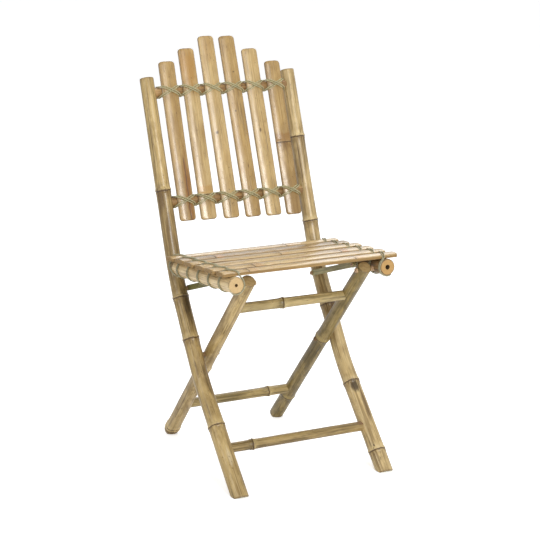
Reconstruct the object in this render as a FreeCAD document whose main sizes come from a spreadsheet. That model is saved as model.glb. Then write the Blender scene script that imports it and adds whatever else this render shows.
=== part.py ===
import FreeCAD, Part
import math
import os
import re
import Sketcher

# A folding chair of bamboo poles. Lengths are millimetres and angles degrees.
# X runs across the chair, +Y to the rear, +Z up, and the floor is Z = 0.
# Slants and leans are measured from the vertical, on the centre line of a pole.
SIZES = {
    # The two long posts: front feet, a knee, a waist, and the upright of the back.
    "post_spacing": 336.0,
    "post_foot_dia": 35.6,
    "post_top_dia": 30.0,
    "post_height": 791.0,
    "post_foot_y": -220.8,
    "foot_slant": 43.1,
    "mid_slant": 33.0,
    "top_lean": 19.6,
    "knee_height": 193.0,
    "waist_height": 377.0,
    "knee_bend": 400.0,
    "waist_bend": 460.0,
    "left_post_node_a": 116.0,
    "left_post_node_b": 271.0,
    "left_post_node_c": 349.0,
    "left_post_node_d": 558.0,
    "right_post_node_a": 35.0,
    "right_post_node_b": 154.0,
    "right_post_node_c": 302.0,
    "right_post_node_d": 473.0,
    "right_post_node_e": 650.0,
    # Cross rails held by the posts.
    "back_rail_dia": 21.7,
    "top_rail_height": 760.0,
    "lower_rail_height": 537.0,
    "front_stretcher_dia": 20.5,
    "front_stretcher_height": 78.0,
    "front_stretcher_node": 64.0,
    # The two legs, from the rear feet to the pegs under the seat.
    "leg_spacing": 263.2,
    "leg_foot_dia": 31.0,
    "leg_top_dia": 29.0,
    "leg_slant": 42.68,
    "heel_rise": 8.0,
    "leg_tip": 10.0,
    "left_leg_node_a": 15.0,
    "left_leg_node_b": 205.5,
    "right_leg_node_a": 67.5,
    "right_leg_node_b": 239.0,
    # Cross poles held by the legs.
    "leg_stretcher_dia": 20.5,
    "upper_stretcher_height": 362.0,
    "upper_stretcher_node": 116.0,
    "rear_stretcher_height": 89.0,
    "rear_stretcher_node": 203.0,
    # The side rails of the seat.
    "seat_rail_spacing": 342.0,
    "seat_rail_front_dia": 34.0,
    "seat_rail_rear_dia": 33.6,
    "seat_rail_length": 277.0,
    "seat_rear_height": 413.0,
    "seat_to_post": 31.9,
    "seat_slope": 4.75,
    "left_pith_dia": 5.0,
    "right_pith_dia": 9.5,
    "pith_depth": 22.0,
    # Seat slats: split bamboo, outer skin up.
    "seat_slat_length": 398.0,
    "end_slat_width": 36.0,
    "seat_slat_gap": 5.0,
    "seat_slat_edge": 6.5,
    "seat_slat_crown": 3.0,
    "seat_slat_corner": 5.0,
    "seat_front_margin": 5.0,
    "seat_rear_overhang": 9.0,
    # Back slats: split bamboo, outer skin forward.
    "back_slat_pitch": 50.0,
    "back_slat_width": 37.0,
    "back_slat_edge": 5.0,
    "back_slat_crown": 3.0,
    "back_slat_corner": 7.0,
    "back_slat_foot_left": 495.5,
    "back_slat_foot_right": 487.1,
    "back_slat_top_1": 819.5,
    "back_slat_top_2": 843.9,
    "back_slat_top_3": 867.4,
    "back_slat_top_4": 865.5,
    "back_slat_top_5": 836.8,
    "back_slat_top_6": 808.5,
    # Link bars between the posts and the seat rails.
    "link_peg_height": 366.0,
    "link_peg_ahead": 7.0,
    "link_peg_spacing": 71.36,
    "link_width": 12.0,
    "link_thick": 3.6,
    "link_side_gap": 1.0,
    # Pegs: the crossing, the seat on the legs, and both ends of the links.
    "cross_peg_dia": 10.0,
    "seat_peg_dia": 10.0,
    "link_peg_dia": 8.0,
    "peg_proud": 2.0,
    "peg_depth": 22.0,
    "seat_peg_reach": 32.5,
    "peg_drop": 5.0,
    "peg_split": 0.4,
    "peg_pith_dia": 2.6,
    "peg_pith_depth": 5.0,
    # Details that many pieces share.
    "node_rise": 0.9,
    "node_width": 5.0,
    "rim_round": 2.0,
    "floor_round": 1.2,
    "turning_fit": 0.05,
    "glue_fit": 0.03,
    "laid_gap": 0.1,
    "end_gap": 0.3,
    # Twine, how far it stands off what it is wound on, and the gap where it crosses itself.
    "twine_dia": 2.8,
    "twine_gap": 0.35,
    "twine_cross_gap": 0.8,
}

# Places that follow from the sizes.
PLACES = {
    "knee_y": "post_foot_y + knee_height * tan(foot_slant * 1deg)",
    "waist_y": "knee_y + (waist_height - knee_height) * tan(mid_slant * 1deg)",
    "post_top_y": "waist_y + (post_height - waist_height) * tan(top_lean * 1deg)",
    "knee_run": "knee_bend * tan((foot_slant - mid_slant) * 0.5deg)",
    "waist_run": "waist_bend * tan((mid_slant - top_lean) * 0.5deg)",
    "seat_rail_rear_y": "waist_y + (seat_rear_height - waist_height) * tan(top_lean * 1deg) - seat_to_post",
    "seat_rail_front_y": "seat_rail_rear_y - seat_rail_length * cos(seat_slope * 1deg)",
    "seat_rail_front_height": "seat_rear_height + seat_rail_length * sin(seat_slope * 1deg)",
    "seat_slat_width": "(seat_rail_length + seat_rear_overhang - seat_front_margin"
                       " - 2 * end_slat_width - 5 * seat_slat_gap) / 4",
    "seat_peg_y": "seat_rail_front_y + seat_peg_reach * cos(seat_slope * 1deg)"
                  " - peg_drop * sin(seat_slope * 1deg)",
    "seat_peg_height": "seat_rail_front_height - seat_peg_reach * sin(seat_slope * 1deg)"
                       " - peg_drop * cos(seat_slope * 1deg)",
    "rear_foot_y": "seat_peg_y + seat_peg_height * tan(leg_slant * 1deg)",
    "cross_height": "(rear_foot_y - knee_y + knee_height * tan(mid_slant * 1deg))"
                    " / (tan(leg_slant * 1deg) + tan(mid_slant * 1deg))",
    "cross_y": "rear_foot_y - cross_height * tan(leg_slant * 1deg)",
    "leg_length": "seat_peg_height / cos(leg_slant * 1deg) + leg_tip - heel_rise",
    "rail_peg_y": "seat_peg_y + link_peg_spacing * cos(seat_slope * 1deg)",
    "rail_peg_height": "seat_peg_height - link_peg_spacing * sin(seat_slope * 1deg)",
    "post_peg_y": "knee_y + (link_peg_height - knee_height) * tan(mid_slant * 1deg) - link_peg_ahead",
    "link_rise": "rail_peg_height - link_peg_height",
    "link_reach": "rail_peg_y - post_peg_y",
    "link_length": "sqrt(link_rise * link_rise + link_reach * link_reach)",
    "post_inner_x": "post_spacing / 2 - post_foot_dia / 2"
                    " + (post_foot_dia - post_top_dia) / 2 * link_peg_height / post_height",
    "link_outer_x": "post_inner_x - link_side_gap",
    "link_inner_x": "link_outer_x - link_thick",
    "leg_inner_x": "leg_spacing / 2 - leg_top_dia / 2",
    "rail_inner_x": "seat_rail_spacing / 2 - seat_rail_front_dia / 2",
    "seat_peg_split_x": "link_outer_x",
    "back_slat_seat": "back_rail_dia / 2 + laid_gap",
    "seat_slat_seat": "seat_rail_front_dia / 2 + laid_gap",
}

SIDES = {"left": -1, "right": 1}
SLATS = 6
X_AXIS = FreeCAD.Vector(1, 0, 0)
Y_AXIS = FreeCAD.Vector(0, 1, 0)

doc = FreeCAD.newDocument("bamboo_folding_chair")


def expression(text, sheet=None):
    """Put each alias under the sheet that holds it."""
    def full_name(match):
        word = match.group(0)
        if word in SIZES:
            return "Sizes." + word
        if word in PLACES and sheet != "Places":
            return "Places." + word
        return word
    return re.sub(r"[A-Za-z_]\w*", full_name, text)


def make_sheet(name, rows):
    """A spreadsheet with one aliased value in each row."""
    sheet = doc.addObject("Spreadsheet::Sheet", name)
    for row, (alias, content) in enumerate(rows.items(), start=1):
        sheet.set(f"A{row}", alias)
        sheet.set(f"B{row}", content)
        sheet.setAlias(f"B{row}", alias)
    doc.recompute()
    return sheet


sizes = make_sheet("Sizes", {alias: str(number) for alias, number in SIZES.items()})
places = make_sheet("Places", {alias: "=" + expression(text, "Places")
                               for alias, text in PLACES.items()})


def value(alias):
    """The number that a sheet holds for a size or a place."""
    held = getattr(sizes if alias in SIZES else places, alias)
    return float(getattr(held, "Value", held))


def bind(obj, properties):
    """Drive an object's properties by expressions of the sheets."""
    for name, text in properties.items():
        obj.setExpression(name, expression(text))


def place(obj, x="0", y="0", z="0", axis=None, angle=None):
    """Drive where an object stands, and its turn about one axis."""
    if axis is not None:
        obj.Placement = FreeCAD.Placement(FreeCAD.Vector(), FreeCAD.Rotation(axis, 1))
        bind(obj, {"Placement.Rotation.Angle": angle})
    bind(obj, {"Placement.Base.x": x, "Placement.Base.y": y, "Placement.Base.z": z})


def new_body(label, **where):
    """An empty body whose label is the name of its piece."""
    body = doc.addObject("PartDesign::Body", label)
    body.Label = label
    place(body, **where)
    return body


def origin_plane(body, role):
    return next(feature for feature in body.Origin.OriginFeatures if feature.Role == role)


def feature(body, kind, properties, **where):
    """Add or cut one primitive of a body, and check that it changes the body's volume."""
    before = body.Shape.Volume if body.Tip else 0.0
    made = body.newObject("PartDesign::" + kind, body.Label + "_" + kind)
    bind(made, properties)
    place(made, **where)
    doc.recompute()
    if abs(body.Shape.Volume - before) < 1e-3:
        raise RuntimeError(made.Label + " changes nothing")
    return made


def fillet(body, radius, wanted):
    """Round those edges of a body's last shape for which wanted(edge) is true."""
    base = body.Tip
    names = [f"Edge{number}" for number, edge in enumerate(base.Shape.Edges, start=1) if wanted(edge)]
    made = body.newObject("PartDesign::Fillet", body.Label + "_fillet")
    made.Base = (base, names)
    bind(made, {"Radius": radius})
    doc.recompute()
    return made


def is_round_rim(edge):
    return len(edge.Vertexes) == 1


def is_on_floor(edge):
    return max(abs(edge.BoundBox.ZMax), abs(edge.BoundBox.ZMin)) < 0.01


def node_ring(body, pole_radius, **where):
    """The swollen node of a bamboo pole, a ring round its centre line."""
    dims = {"Radius1": pole_radius + " + node_rise - node_width / 2", "Radius2": "node_width / 2"}
    return feature(body, "AdditiveTorus", dims, **where)


def across(side, near, far):
    """Where a stretch from near to far of the chair's middle starts in X on one side."""
    return near if side == "right" else f"-({far})"


def side_hole(body, side, centre, dia, near, far, y, z):
    """A hole along X in a body that stands at the distance centre from the chair's middle."""
    start = across(side, near, far) + (f" - {centre}" if side == "right" else f" + {centre}")
    dims = {"Radius": dia + " / 2", "Height": f"{far} - ({near})"}
    return feature(body, "SubtractiveCylinder", dims, x=start, y=y, z=z, axis=Y_AXIS, angle="90")


def cut_at_floor(body, y, dia):
    """Saw a foot level with the floor, and ease its edge."""
    waste = {"Length": "4 * " + dia, "Width": "6 * " + dia, "Height": "2 * " + dia}
    feature(body, "SubtractiveBox", waste, x="-2 * " + dia, y=f"{y} - 3 * {dia}", z="-2 * " + dia)
    return fillet(body, "floor_round", is_on_floor)


def post_line(height):
    """Where a post's centre line is at a height: its Y, and its slant there."""
    if value(height) > value("waist_height"):
        return f"post_top_y - (post_height - {height}) * tan(top_lean * 1deg)", "top_lean"
    if value(height) > value("knee_height"):
        return f"knee_y + ({height} - knee_height) * tan(mid_slant * 1deg)", "mid_slant"
    return f"post_foot_y + {height} * tan(foot_slant * 1deg)", "foot_slant"


def leg_line(height):
    return f"rear_foot_y - {height} * tan(leg_slant * 1deg)"


def heading(slant):
    """The way up a post's run, in the plane of its path sketch."""
    turn = math.radians(value(slant))
    return FreeCAD.Vector(math.sin(turn), math.cos(turn), 0)


def bend_arc(start, end, way, radius):
    """An arc from start to end that leaves along way and turns to the front of the chair."""
    centre = start + FreeCAD.Vector(-way.y, way.x, 0) * radius
    middle = (start + end) * 0.5 - centre
    middle.normalize()
    return Part.Arc(start, centre + middle * radius, end)


def post_path(body):
    """The centre line of a post: three straight runs joined by two bends."""
    foot_way, mid_way, top_way = heading("foot_slant"), heading("mid_slant"), heading("top_lean")
    knee = FreeCAD.Vector(value("knee_y"), value("knee_height"), 0)
    waist = FreeCAD.Vector(value("waist_y"), value("waist_height"), 0)
    points = [
        FreeCAD.Vector(value("post_foot_y"), 0, 0) - foot_way * value("post_foot_dia"),
        knee - foot_way * value("knee_run"),
        knee + mid_way * value("knee_run"),
        waist - mid_way * value("waist_run"),
        waist + top_way * value("waist_run"),
        FreeCAD.Vector(value("post_top_y"), value("post_height"), 0),
    ]
    sketch = body.newObject("Sketcher::SketchObject", body.Label + "_path")
    sketch.AttachmentSupport = [(origin_plane(body, "YZ_Plane"), "")]
    sketch.MapMode = "FlatFace"
    runs = [
        sketch.addGeometry(Part.LineSegment(points[0], points[1])),
        sketch.addGeometry(bend_arc(points[1], points[2], foot_way, value("knee_bend"))),
        sketch.addGeometry(Part.LineSegment(points[2], points[3])),
        sketch.addGeometry(bend_arc(points[3], points[4], mid_way, value("waist_bend"))),
        sketch.addGeometry(Part.LineSegment(points[4], points[5])),
    ]

    def end_at(run, point):
        return 1 if sketch.getPoint(run, 1).distanceToPoint(point) < 1e-6 else 2

    def dimension(name, text, kind, *where):
        number = sketch.addConstraint(Sketcher.Constraint(kind, *where))
        sketch.renameConstraint(number, name)
        bind(sketch, {"Constraints." + name: text})

    for first, second, joint in zip(runs, runs[1:], points[1:]):
        ends = (first, end_at(first, joint), second, end_at(second, joint))
        sketch.addConstraint(Sketcher.Constraint("Tangent", *ends))
    dimension("knee_bend", "knee_bend", "Radius", runs[1], value("knee_bend"))
    dimension("waist_bend", "waist_bend", "Radius", runs[3], value("waist_bend"))
    dimension("start_y", "post_foot_y - post_foot_dia * sin(foot_slant * 1deg)",
              "DistanceX", -1, 1, runs[0], 1, points[0].x)
    dimension("start_z", "-post_foot_dia * cos(foot_slant * 1deg)",
              "DistanceY", -1, 1, runs[0], 1, points[0].y)
    dimension("foot_run_end", "knee_height - knee_run * cos(foot_slant * 1deg)",
              "DistanceY", -1, 1, runs[0], 2, points[1].y)
    dimension("mid_run_end", "waist_height - waist_run * cos(mid_slant * 1deg)",
              "DistanceY", -1, 1, runs[2], 2, points[3].y)
    dimension("top_run_end", "post_height", "DistanceY", -1, 1, runs[4], 2, points[5].y)
    for run, slant in zip(runs[::2], ("foot_slant", "mid_slant", "top_lean")):
        dimension("angle_" + slant, f"90 - {slant}", "Angle", run, math.radians(90 - value(slant)))
    return sketch


def path_ring(body, path, edge, along, dia, name):
    """A circle square to one end of a path, for the pole's section there."""
    sketch = body.newObject("Sketcher::SketchObject", body.Label + "_" + name)
    sketch.AttachmentSupport = [(path, edge)]
    sketch.MapMode = "NormalToEdge"
    sketch.MapPathParameter = along
    sketch.addGeometry(Part.Circle(FreeCAD.Vector(), FreeCAD.Vector(0, 0, 1), value(dia) / 2))
    sketch.addConstraint(Sketcher.Constraint("Coincident", 0, 3, -1, 1))
    number = sketch.addConstraint(Sketcher.Constraint("Diameter", 0, value(dia)))
    sketch.renameConstraint(number, "across")
    bind(sketch, {"Constraints.across": dia})
    return sketch


def make_post(side):
    """A post: a tapered pole bent twice, sawn level at the floor, with its nodes and its holes."""
    centre = "post_spacing / 2"
    body = new_body("post_" + side, x=across(side, centre, centre))
    path = post_path(body)
    foot_ring = path_ring(body, path, "Edge1", 0.0, "post_foot_dia", "foot_ring")
    top_ring = path_ring(body, path, "Edge5", 1.0, "post_top_dia", "top_ring")
    doc.recompute()
    pipe = body.newObject("PartDesign::AdditivePipe", body.Label + "_pipe")
    pipe.Profile = foot_ring
    pipe.Spine = (path, [f"Edge{number}" for number in range(1, 6)])
    pipe.Sections = [(top_ring, [""])]
    pipe.Transformation = "Multisection"
    doc.recompute()
    near_top = value("post_height") - value("post_top_dia")
    fillet(body, "rim_round", lambda edge: is_round_rim(edge) and edge.CenterOfMass.z > near_top)
    cut_at_floor(body, "post_foot_y", "post_foot_dia")
    for height in [alias for alias in SIZES if alias.startswith(side + "_post_node")]:
        radius = f"(post_foot_dia - (post_foot_dia - post_top_dia) * {height} / post_height) / 2"
        y, slant = post_line(height)
        node_ring(body, radius, y=y, z=height, axis=X_AXIS, angle="-" + slant)
    for dia, height in (("back_rail_dia", "top_rail_height"),
                        ("back_rail_dia", "lower_rail_height"),
                        ("front_stretcher_dia", "front_stretcher_height")):
        side_hole(body, side, centre, f"({dia} + 2 * glue_fit)",
                  f"{centre} - post_foot_dia", centre, post_line(height)[0], height)
    for dia, y, z in (("cross_peg_dia", "cross_y", "cross_height"),
                      ("link_peg_dia", "post_peg_y", "link_peg_height")):
        side_hole(body, side, centre, f"({dia} + 2 * glue_fit)", f"{centre} - post_foot_dia",
                  "post_inner_x + peg_depth + end_gap", y, z)
    return body


def make_leg(side):
    """A leg: a tapered pole, sawn level at the rear foot, with its nodes and its holes."""
    centre = "leg_spacing / 2"
    body = new_body("leg_" + side, x=across(side, centre, centre))
    cone = {"Radius1": "leg_foot_dia / 2", "Radius2": "leg_top_dia / 2", "Height": "leg_length"}
    feature(body, "AdditiveCone", cone, y="rear_foot_y - heel_rise * sin(leg_slant * 1deg)",
            z="heel_rise * cos(leg_slant * 1deg)", axis=X_AXIS, angle="leg_slant")
    fillet(body, "rim_round", is_round_rim)
    cut_at_floor(body, "rear_foot_y", "leg_foot_dia")
    for height in [alias for alias in SIZES if alias.startswith(side + "_leg_node")]:
        radius = f"(leg_foot_dia - (leg_foot_dia - leg_top_dia) * {height} / seat_peg_height) / 2"
        node_ring(body, radius, y=leg_line(height), z=height, axis=X_AXIS, angle="leg_slant")
    for height in ("upper_stretcher_height", "rear_stretcher_height"):
        side_hole(body, side, centre, "(leg_stretcher_dia + 2 * glue_fit)",
                  f"{centre} - leg_foot_dia", centre, leg_line(height), height)
    for dia, y, z in (("(cross_peg_dia + 2 * turning_fit)", "cross_y", "cross_height"),
                      ("(seat_peg_dia + 2 * glue_fit)", "seat_peg_y", "seat_peg_height")):
        side_hole(body, side, centre, dia, f"{centre} - leg_foot_dia", f"{centre} + leg_foot_dia", y, z)
    return body


def make_cross_pole(label, dia, spacing, y, z, node=None):
    """A pole across the chair, with its ends in blind sockets. Its node is that far from its left end."""
    body = new_body(label, x=f"end_gap - {spacing} / 2", y=y, z=z, axis=Y_AXIS, angle="90")
    rod = {"Radius": dia + " / 2", "Height": f"{spacing} - 2 * end_gap"}
    feature(body, "AdditiveCylinder", rod)
    if node:
        node_ring(body, dia + " / 2", z=node)
    return body


def make_peg(label, side, dia, near, far, y, z, pith):
    """A peg along X, with the pith's small hole in an end that shows."""
    body = new_body(label, x=across(side, near, far), y=y, z=z, axis=Y_AXIS, angle="90")
    feature(body, "AdditiveCylinder", {"Radius": dia + " / 2", "Height": f"{far} - ({near})"})
    if pith:
        start = "0" if side == "right" else f"{far} - ({near}) - peg_pith_depth"
        hole = {"Radius": "peg_pith_dia / 2", "Height": "peg_pith_depth"}
        feature(body, "SubtractiveCylinder", hole, z=start)
    return body


def make_seat_rail(side):
    """A side rail of the seat: a thick pole with the pith open at its front end."""
    centre = "seat_rail_spacing / 2"
    body = new_body("seat_rail_" + side, x=across(side, centre, centre))
    front = {"y": "seat_rail_front_y", "z": "seat_rail_front_height",
             "axis": X_AXIS, "angle": "-90 - seat_slope"}
    cone = {"Radius1": "seat_rail_front_dia / 2", "Radius2": "seat_rail_rear_dia / 2",
            "Height": "seat_rail_length"}
    feature(body, "AdditiveCone", cone, **front)
    fillet(body, "rim_round", is_round_rim)
    feature(body, "SubtractiveCylinder", {"Radius": side + "_pith_dia / 2", "Height": "pith_depth"}, **front)
    for dia, y, z in (("seat_peg_dia", "seat_peg_y", "seat_peg_height"),
                      ("link_peg_dia", "rail_peg_y", "rail_peg_height")):
        side_hole(body, side, centre, f"({dia} + 2 * glue_fit)", f"{centre} - seat_rail_front_dia",
                  "rail_inner_x + peg_depth + end_gap", y, z)
    return body


def make_link(side):
    """A link bar: a flat lath with round ends, turning on two pegs."""
    body = new_body("link_" + side, x=across(side, "link_inner_x", "link_outer_x"),
                    y="post_peg_y", z="link_peg_height", axis=X_AXIS,
                    angle="atan2(link_rise; link_reach)")
    lath = {"Length": "link_thick", "Width": "link_length", "Height": "link_width"}
    feature(body, "AdditiveBox", lath, z="-link_width / 2")
    for along in ("0", "link_length"):
        end = {"Radius": "link_width / 2", "Height": "link_thick"}
        feature(body, "AdditiveCylinder", end, y=along, axis=Y_AXIS, angle="90")
    for along in ("0", "link_length"):
        hole = {"Radius": "link_peg_dia / 2 + turning_fit", "Height": "link_thick"}
        feature(body, "SubtractiveCylinder", hole, y=along, axis=Y_AXIS, angle="90")
    return body


def make_slat(body, plane, crown_way, width, edge, crown, length, corner):
    """A split of bamboo: a flat back, short sides and the curve of the outer skin."""
    half = value(width) / 2
    side = value(edge) * crown_way
    top = side + value(crown) * crown_way
    left, right = FreeCAD.Vector(-half, 0, 0), FreeCAD.Vector(half, 0, 0)
    left_rim, right_rim = FreeCAD.Vector(-half, side, 0), FreeCAD.Vector(half, side, 0)
    sketch = body.newObject("Sketcher::SketchObject", body.Label + "_section")
    sketch.AttachmentSupport = [(origin_plane(body, plane), "")]
    sketch.MapMode = "FlatFace"
    back = sketch.addGeometry(Part.LineSegment(left, right))
    right_side = sketch.addGeometry(Part.LineSegment(right, right_rim))
    skin = sketch.addGeometry(Part.Arc(right_rim, FreeCAD.Vector(0, top, 0), left_rim))
    left_side = sketch.addGeometry(Part.LineSegment(left_rim, left))
    skin_right = 1 if sketch.getPoint(skin, 1).x > 0 else 2
    for ends in ((back, 2, right_side, 1), (right_side, 2, skin, skin_right),
                 (skin, 3 - skin_right, left_side, 1), (left_side, 2, back, 1)):
        sketch.addConstraint(Sketcher.Constraint("Coincident", *ends))
    sketch.addConstraint(Sketcher.Constraint("Vertical", right_side))
    sketch.addConstraint(Sketcher.Constraint("Vertical", left_side))
    sketch.addConstraint(Sketcher.Constraint("Equal", left_side, right_side))
    sketch.addConstraint(Sketcher.Constraint("Symmetric", back, 1, back, 2, -1, 1))
    for name, text, kind, line in (("width", width, "Distance", back),
                                   ("edge", edge, "Distance", right_side)):
        number = sketch.addConstraint(Sketcher.Constraint(kind, line, value(text)))
        sketch.renameConstraint(number, name)
        bind(sketch, {"Constraints." + name: text})
    radius = (half * half + value(crown) ** 2) / (2 * value(crown))
    number = sketch.addConstraint(Sketcher.Constraint("Radius", skin, radius))
    sketch.renameConstraint(number, "skin")
    bind(sketch, {"Constraints.skin": f"({width} * {width} / 4 + {crown} * {crown}) / (2 * {crown})"})
    doc.recompute()
    pad = body.newObject("PartDesign::Pad", body.Label + "_pad")
    pad.Profile = sketch
    bind(pad, {"Length": length})
    doc.recompute()
    fillet(body, corner, lambda line: abs(line.Length - value(edge)) < 1e-3)
    return body


def make_back_slat(number):
    """A slat of the back. The feet of the row rise in a straight line from right to left."""
    share = f"{number - 1} / {SLATS - 1}"
    foot = f"(back_slat_foot_left + (back_slat_foot_right - back_slat_foot_left) * {share})"
    lift = "back_slat_seat * sin(top_lean * 1deg)"
    y = f"post_top_y - (post_height - {foot}) * tan(top_lean * 1deg) - back_slat_seat * cos(top_lean * 1deg)"
    body = new_body(f"back_slat_{number}", x=f"back_slat_pitch * ({number} - {(SLATS + 1) / 2})",
                    y=y, z=f"{foot} + {lift}", axis=X_AXIS, angle="-top_lean")
    length = f"(back_slat_top_{number} - {foot}) / cos(top_lean * 1deg)"
    return make_slat(body, "XY_Plane", -1, "back_slat_width", "back_slat_edge", "back_slat_crown",
                     length, "back_slat_corner")


def seat_slat_span(number):
    """Where a seat slat starts along the rails, and its width. The two end slats are narrower."""
    width = "end_slat_width" if number in (1, SLATS) else "seat_slat_width"
    start = "seat_front_margin"
    if number > 1:
        start += f" + end_slat_width + {number - 2} * seat_slat_width + {number - 1} * seat_slat_gap"
    return start, width


def make_seat_slat(number):
    """A slat of the seat, laid across both rails."""
    start, width = seat_slat_span(number)
    along = f"({start} + {width} / 2)"
    body = new_body(f"seat_slat_{number}", x="-seat_slat_length / 2",
                    y=f"seat_rail_front_y + {along} * cos(seat_slope * 1deg)"
                      " + seat_slat_seat * sin(seat_slope * 1deg)",
                    z=f"seat_rail_front_height - {along} * sin(seat_slope * 1deg)"
                      " + seat_slat_seat * cos(seat_slope * 1deg)",
                    axis=X_AXIS, angle="-seat_slope")
    return make_slat(body, "YZ_Plane", 1, width, "seat_slat_edge", "seat_slat_crown",
                     "seat_slat_length", "seat_slat_corner")


# Twine. A lashing is one length of twine whose centre line is a chain of arcs.
def directions(points):
    """The way a line goes at each of its points: along the circle through three neighbours."""
    chords = [after - before for before, after in zip(points, points[1:])]
    units = [chord / chord.Length for chord in chords]
    inner = [a * q.Length + b * p.Length for p, q, a, b in zip(chords, chords[1:], units, units[1:])]
    for way in inner:
        way.normalize()
    first = units[0] * (2 * units[0].dot(inner[0])) - inner[0]
    last = units[-1] * (2 * units[-1].dot(inner[-1])) - inner[-1]
    return [first] + inner + [last]


def twine_arc(start, way, end):
    """The arc that leaves start along way and reaches end, and its radius."""
    chord = end - start
    bow = way - chord * (way.dot(chord) / chord.dot(chord))
    if bow.Length < 1e-5:
        return Part.LineSegment(start, end), math.inf
    turn = way.getAngle(chord)
    middle = start + chord * 0.5 + bow / bow.Length * (chord.Length / 2 * math.tan(turn / 2))
    return Part.Arc(start, middle, end), chord.Length / (2 * math.sin(turn))


def twine_line(points):
    """A smooth wire through the points, with two arcs from each point to the next."""
    ways = directions(points)
    edges, radii = [], []
    for start, end, way, end_way in zip(points, points[1:], ways, ways[1:]):
        chord = end - start
        spread = 2 * (1 - way.dot(end_way))
        pull = chord.dot(way + end_way)
        square = chord.dot(chord)
        reach = square / (2 * pull)
        if spread > 1e-9:
            reach = (math.sqrt(pull * pull + spread * square) - pull) / spread
        joint = (start + end + (way - end_way) * reach) * 0.5
        for curve, radius in (twine_arc(start, way, joint), twine_arc(end, end_way * -1, joint)):
            edges.append(curve.toShape())
            radii.append(radius)
    return Part.Wire(Part.__sortEdges__(edges)), ways[0], min(radii)


def least_gap(wire, dia):
    """The least gap between turns of a wire, measured on points along it."""
    points = wire.discretize(Distance=dia * 0.6)
    step = wire.Length / (len(points) - 1)
    skip = int(dia * 3 / step) + 1
    nearest = math.inf
    for number, point in enumerate(points):
        for other in points[number + skip:]:
            if abs(point.x - other.x) < nearest:
                nearest = min(nearest, point.distanceToPoint(other))
    return nearest - dia


def make_lashing(label, points, placement):
    """A lashing along its points, printed with its length, least gap, tightest arc and volume."""
    dia = value("twine_dia")
    wire, way, tightest = twine_line(points)
    ring = Part.Wire(Part.makeCircle(dia / 2, points[0], way))
    tube = wire.makePipeShell([ring], True, False)
    section = math.pi * dia * dia / 4
    print(f"{label}: length {wire.Length:.0f}, least gap {least_gap(wire, dia):.2f}, "
          f"tightest arc {tightest:.2f}, volume over section times length "
          f"{tube.Volume / (section * wire.Length):.4f}")
    piece = doc.addObject("Part::Feature", label)
    piece.Label = label
    piece.Shape = tube
    piece.Placement = placement
    return piece


def back_lashing_points():
    """Out along the rail in one slant over the slats, round the end, and back in the other slant."""
    stand = value("twine_dia") / 2 + value("twine_gap")
    cross = value("twine_dia") + value("twine_cross_gap")
    half = value("back_slat_width") / 2
    pitch = value("back_slat_pitch")
    over = value("back_rail_dia") / 2 + stand
    rim = value("back_slat_seat") + value("back_slat_edge")
    skin = rim + value("back_slat_crown") + stand
    down = over * 0.95
    rim_point = FreeCAD.Vector(half, rim + 1.45 * stand, 0.8 * over)
    side_point = FreeCAD.Vector(half + 1.9 * stand, rim - 2 * stand, down)
    gap_x = half + 2.4 * stand

    def slant(centre, lift, rise):
        """Over one slat. rise is 1 where the twine climbs to the right, and -1 where it falls."""
        left = [FreeCAD.Vector(centre - p.x, p.y, -rise * p.z) for p in (side_point, rim_point)]
        right = [FreeCAD.Vector(centre + p.x, p.y, rise * p.z) for p in (rim_point, side_point)]
        return left + [FreeCAD.Vector(centre, skin + lift, 0)] + right

    def behind(centre, lift, rise):
        """Behind the rail in the gap to the right of a slat, further out where it crosses itself."""
        points = []
        for turn, share in zip((92, 136, 180, 224, 268), (0.2, 0.85, 1.0, 0.85, 0.2)):
            reach = over + share * lift
            x = gap_x + (pitch - 2 * gap_x) * (turn - 90) / 180
            points.append(FreeCAD.Vector(centre + x, reach * math.cos(math.radians(turn)),
                                         rise * reach * math.sin(math.radians(turn))))
        return points

    def end_turn(turns, x, along):
        """Round the rail beside an outer slat, moving along X from one turn to the next."""
        return [FreeCAD.Vector(x + along * number, over * math.cos(math.radians(turn)),
                               over * math.sin(math.radians(turn))) for number, turn in enumerate(turns)]

    centres = [pitch * (number - (SLATS - 1) / 2) for number in range(SLATS)]
    first, last = centres[0], centres[-1]
    points = end_turn((188, 228, 268), first - gap_x - 0.3 * stand, 0.1 * stand)
    for centre in centres:
        points += slant(centre, 0, 1)
        if centre != last:
            points += behind(centre, 0, 1)
    points += end_turn((92, 136, 180), last + gap_x, 0.2 * stand)
    points += reversed(end_turn((268, 224), last + gap_x, 0.2 * stand))
    for centre in reversed(centres):
        points += reversed(slant(centre, cross, -1))
        if centre != first:
            points += reversed(behind(centre - pitch, cross, -1))
    points += end_turn((92, 118, 144), first - gap_x, -0.1 * stand)
    return [FreeCAD.Vector(p.x, -p.y, p.z) for p in points]


def make_back_lashing(label, height):
    lean = value("top_lean")
    y = value("post_top_y") - (value("post_height") - value(height)) * math.tan(math.radians(lean))
    centre = FreeCAD.Vector(0, y, value(height))
    return make_lashing(label, back_lashing_points(),
                        FreeCAD.Placement(centre, FreeCAD.Rotation(X_AXIS, -lean)))


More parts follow.
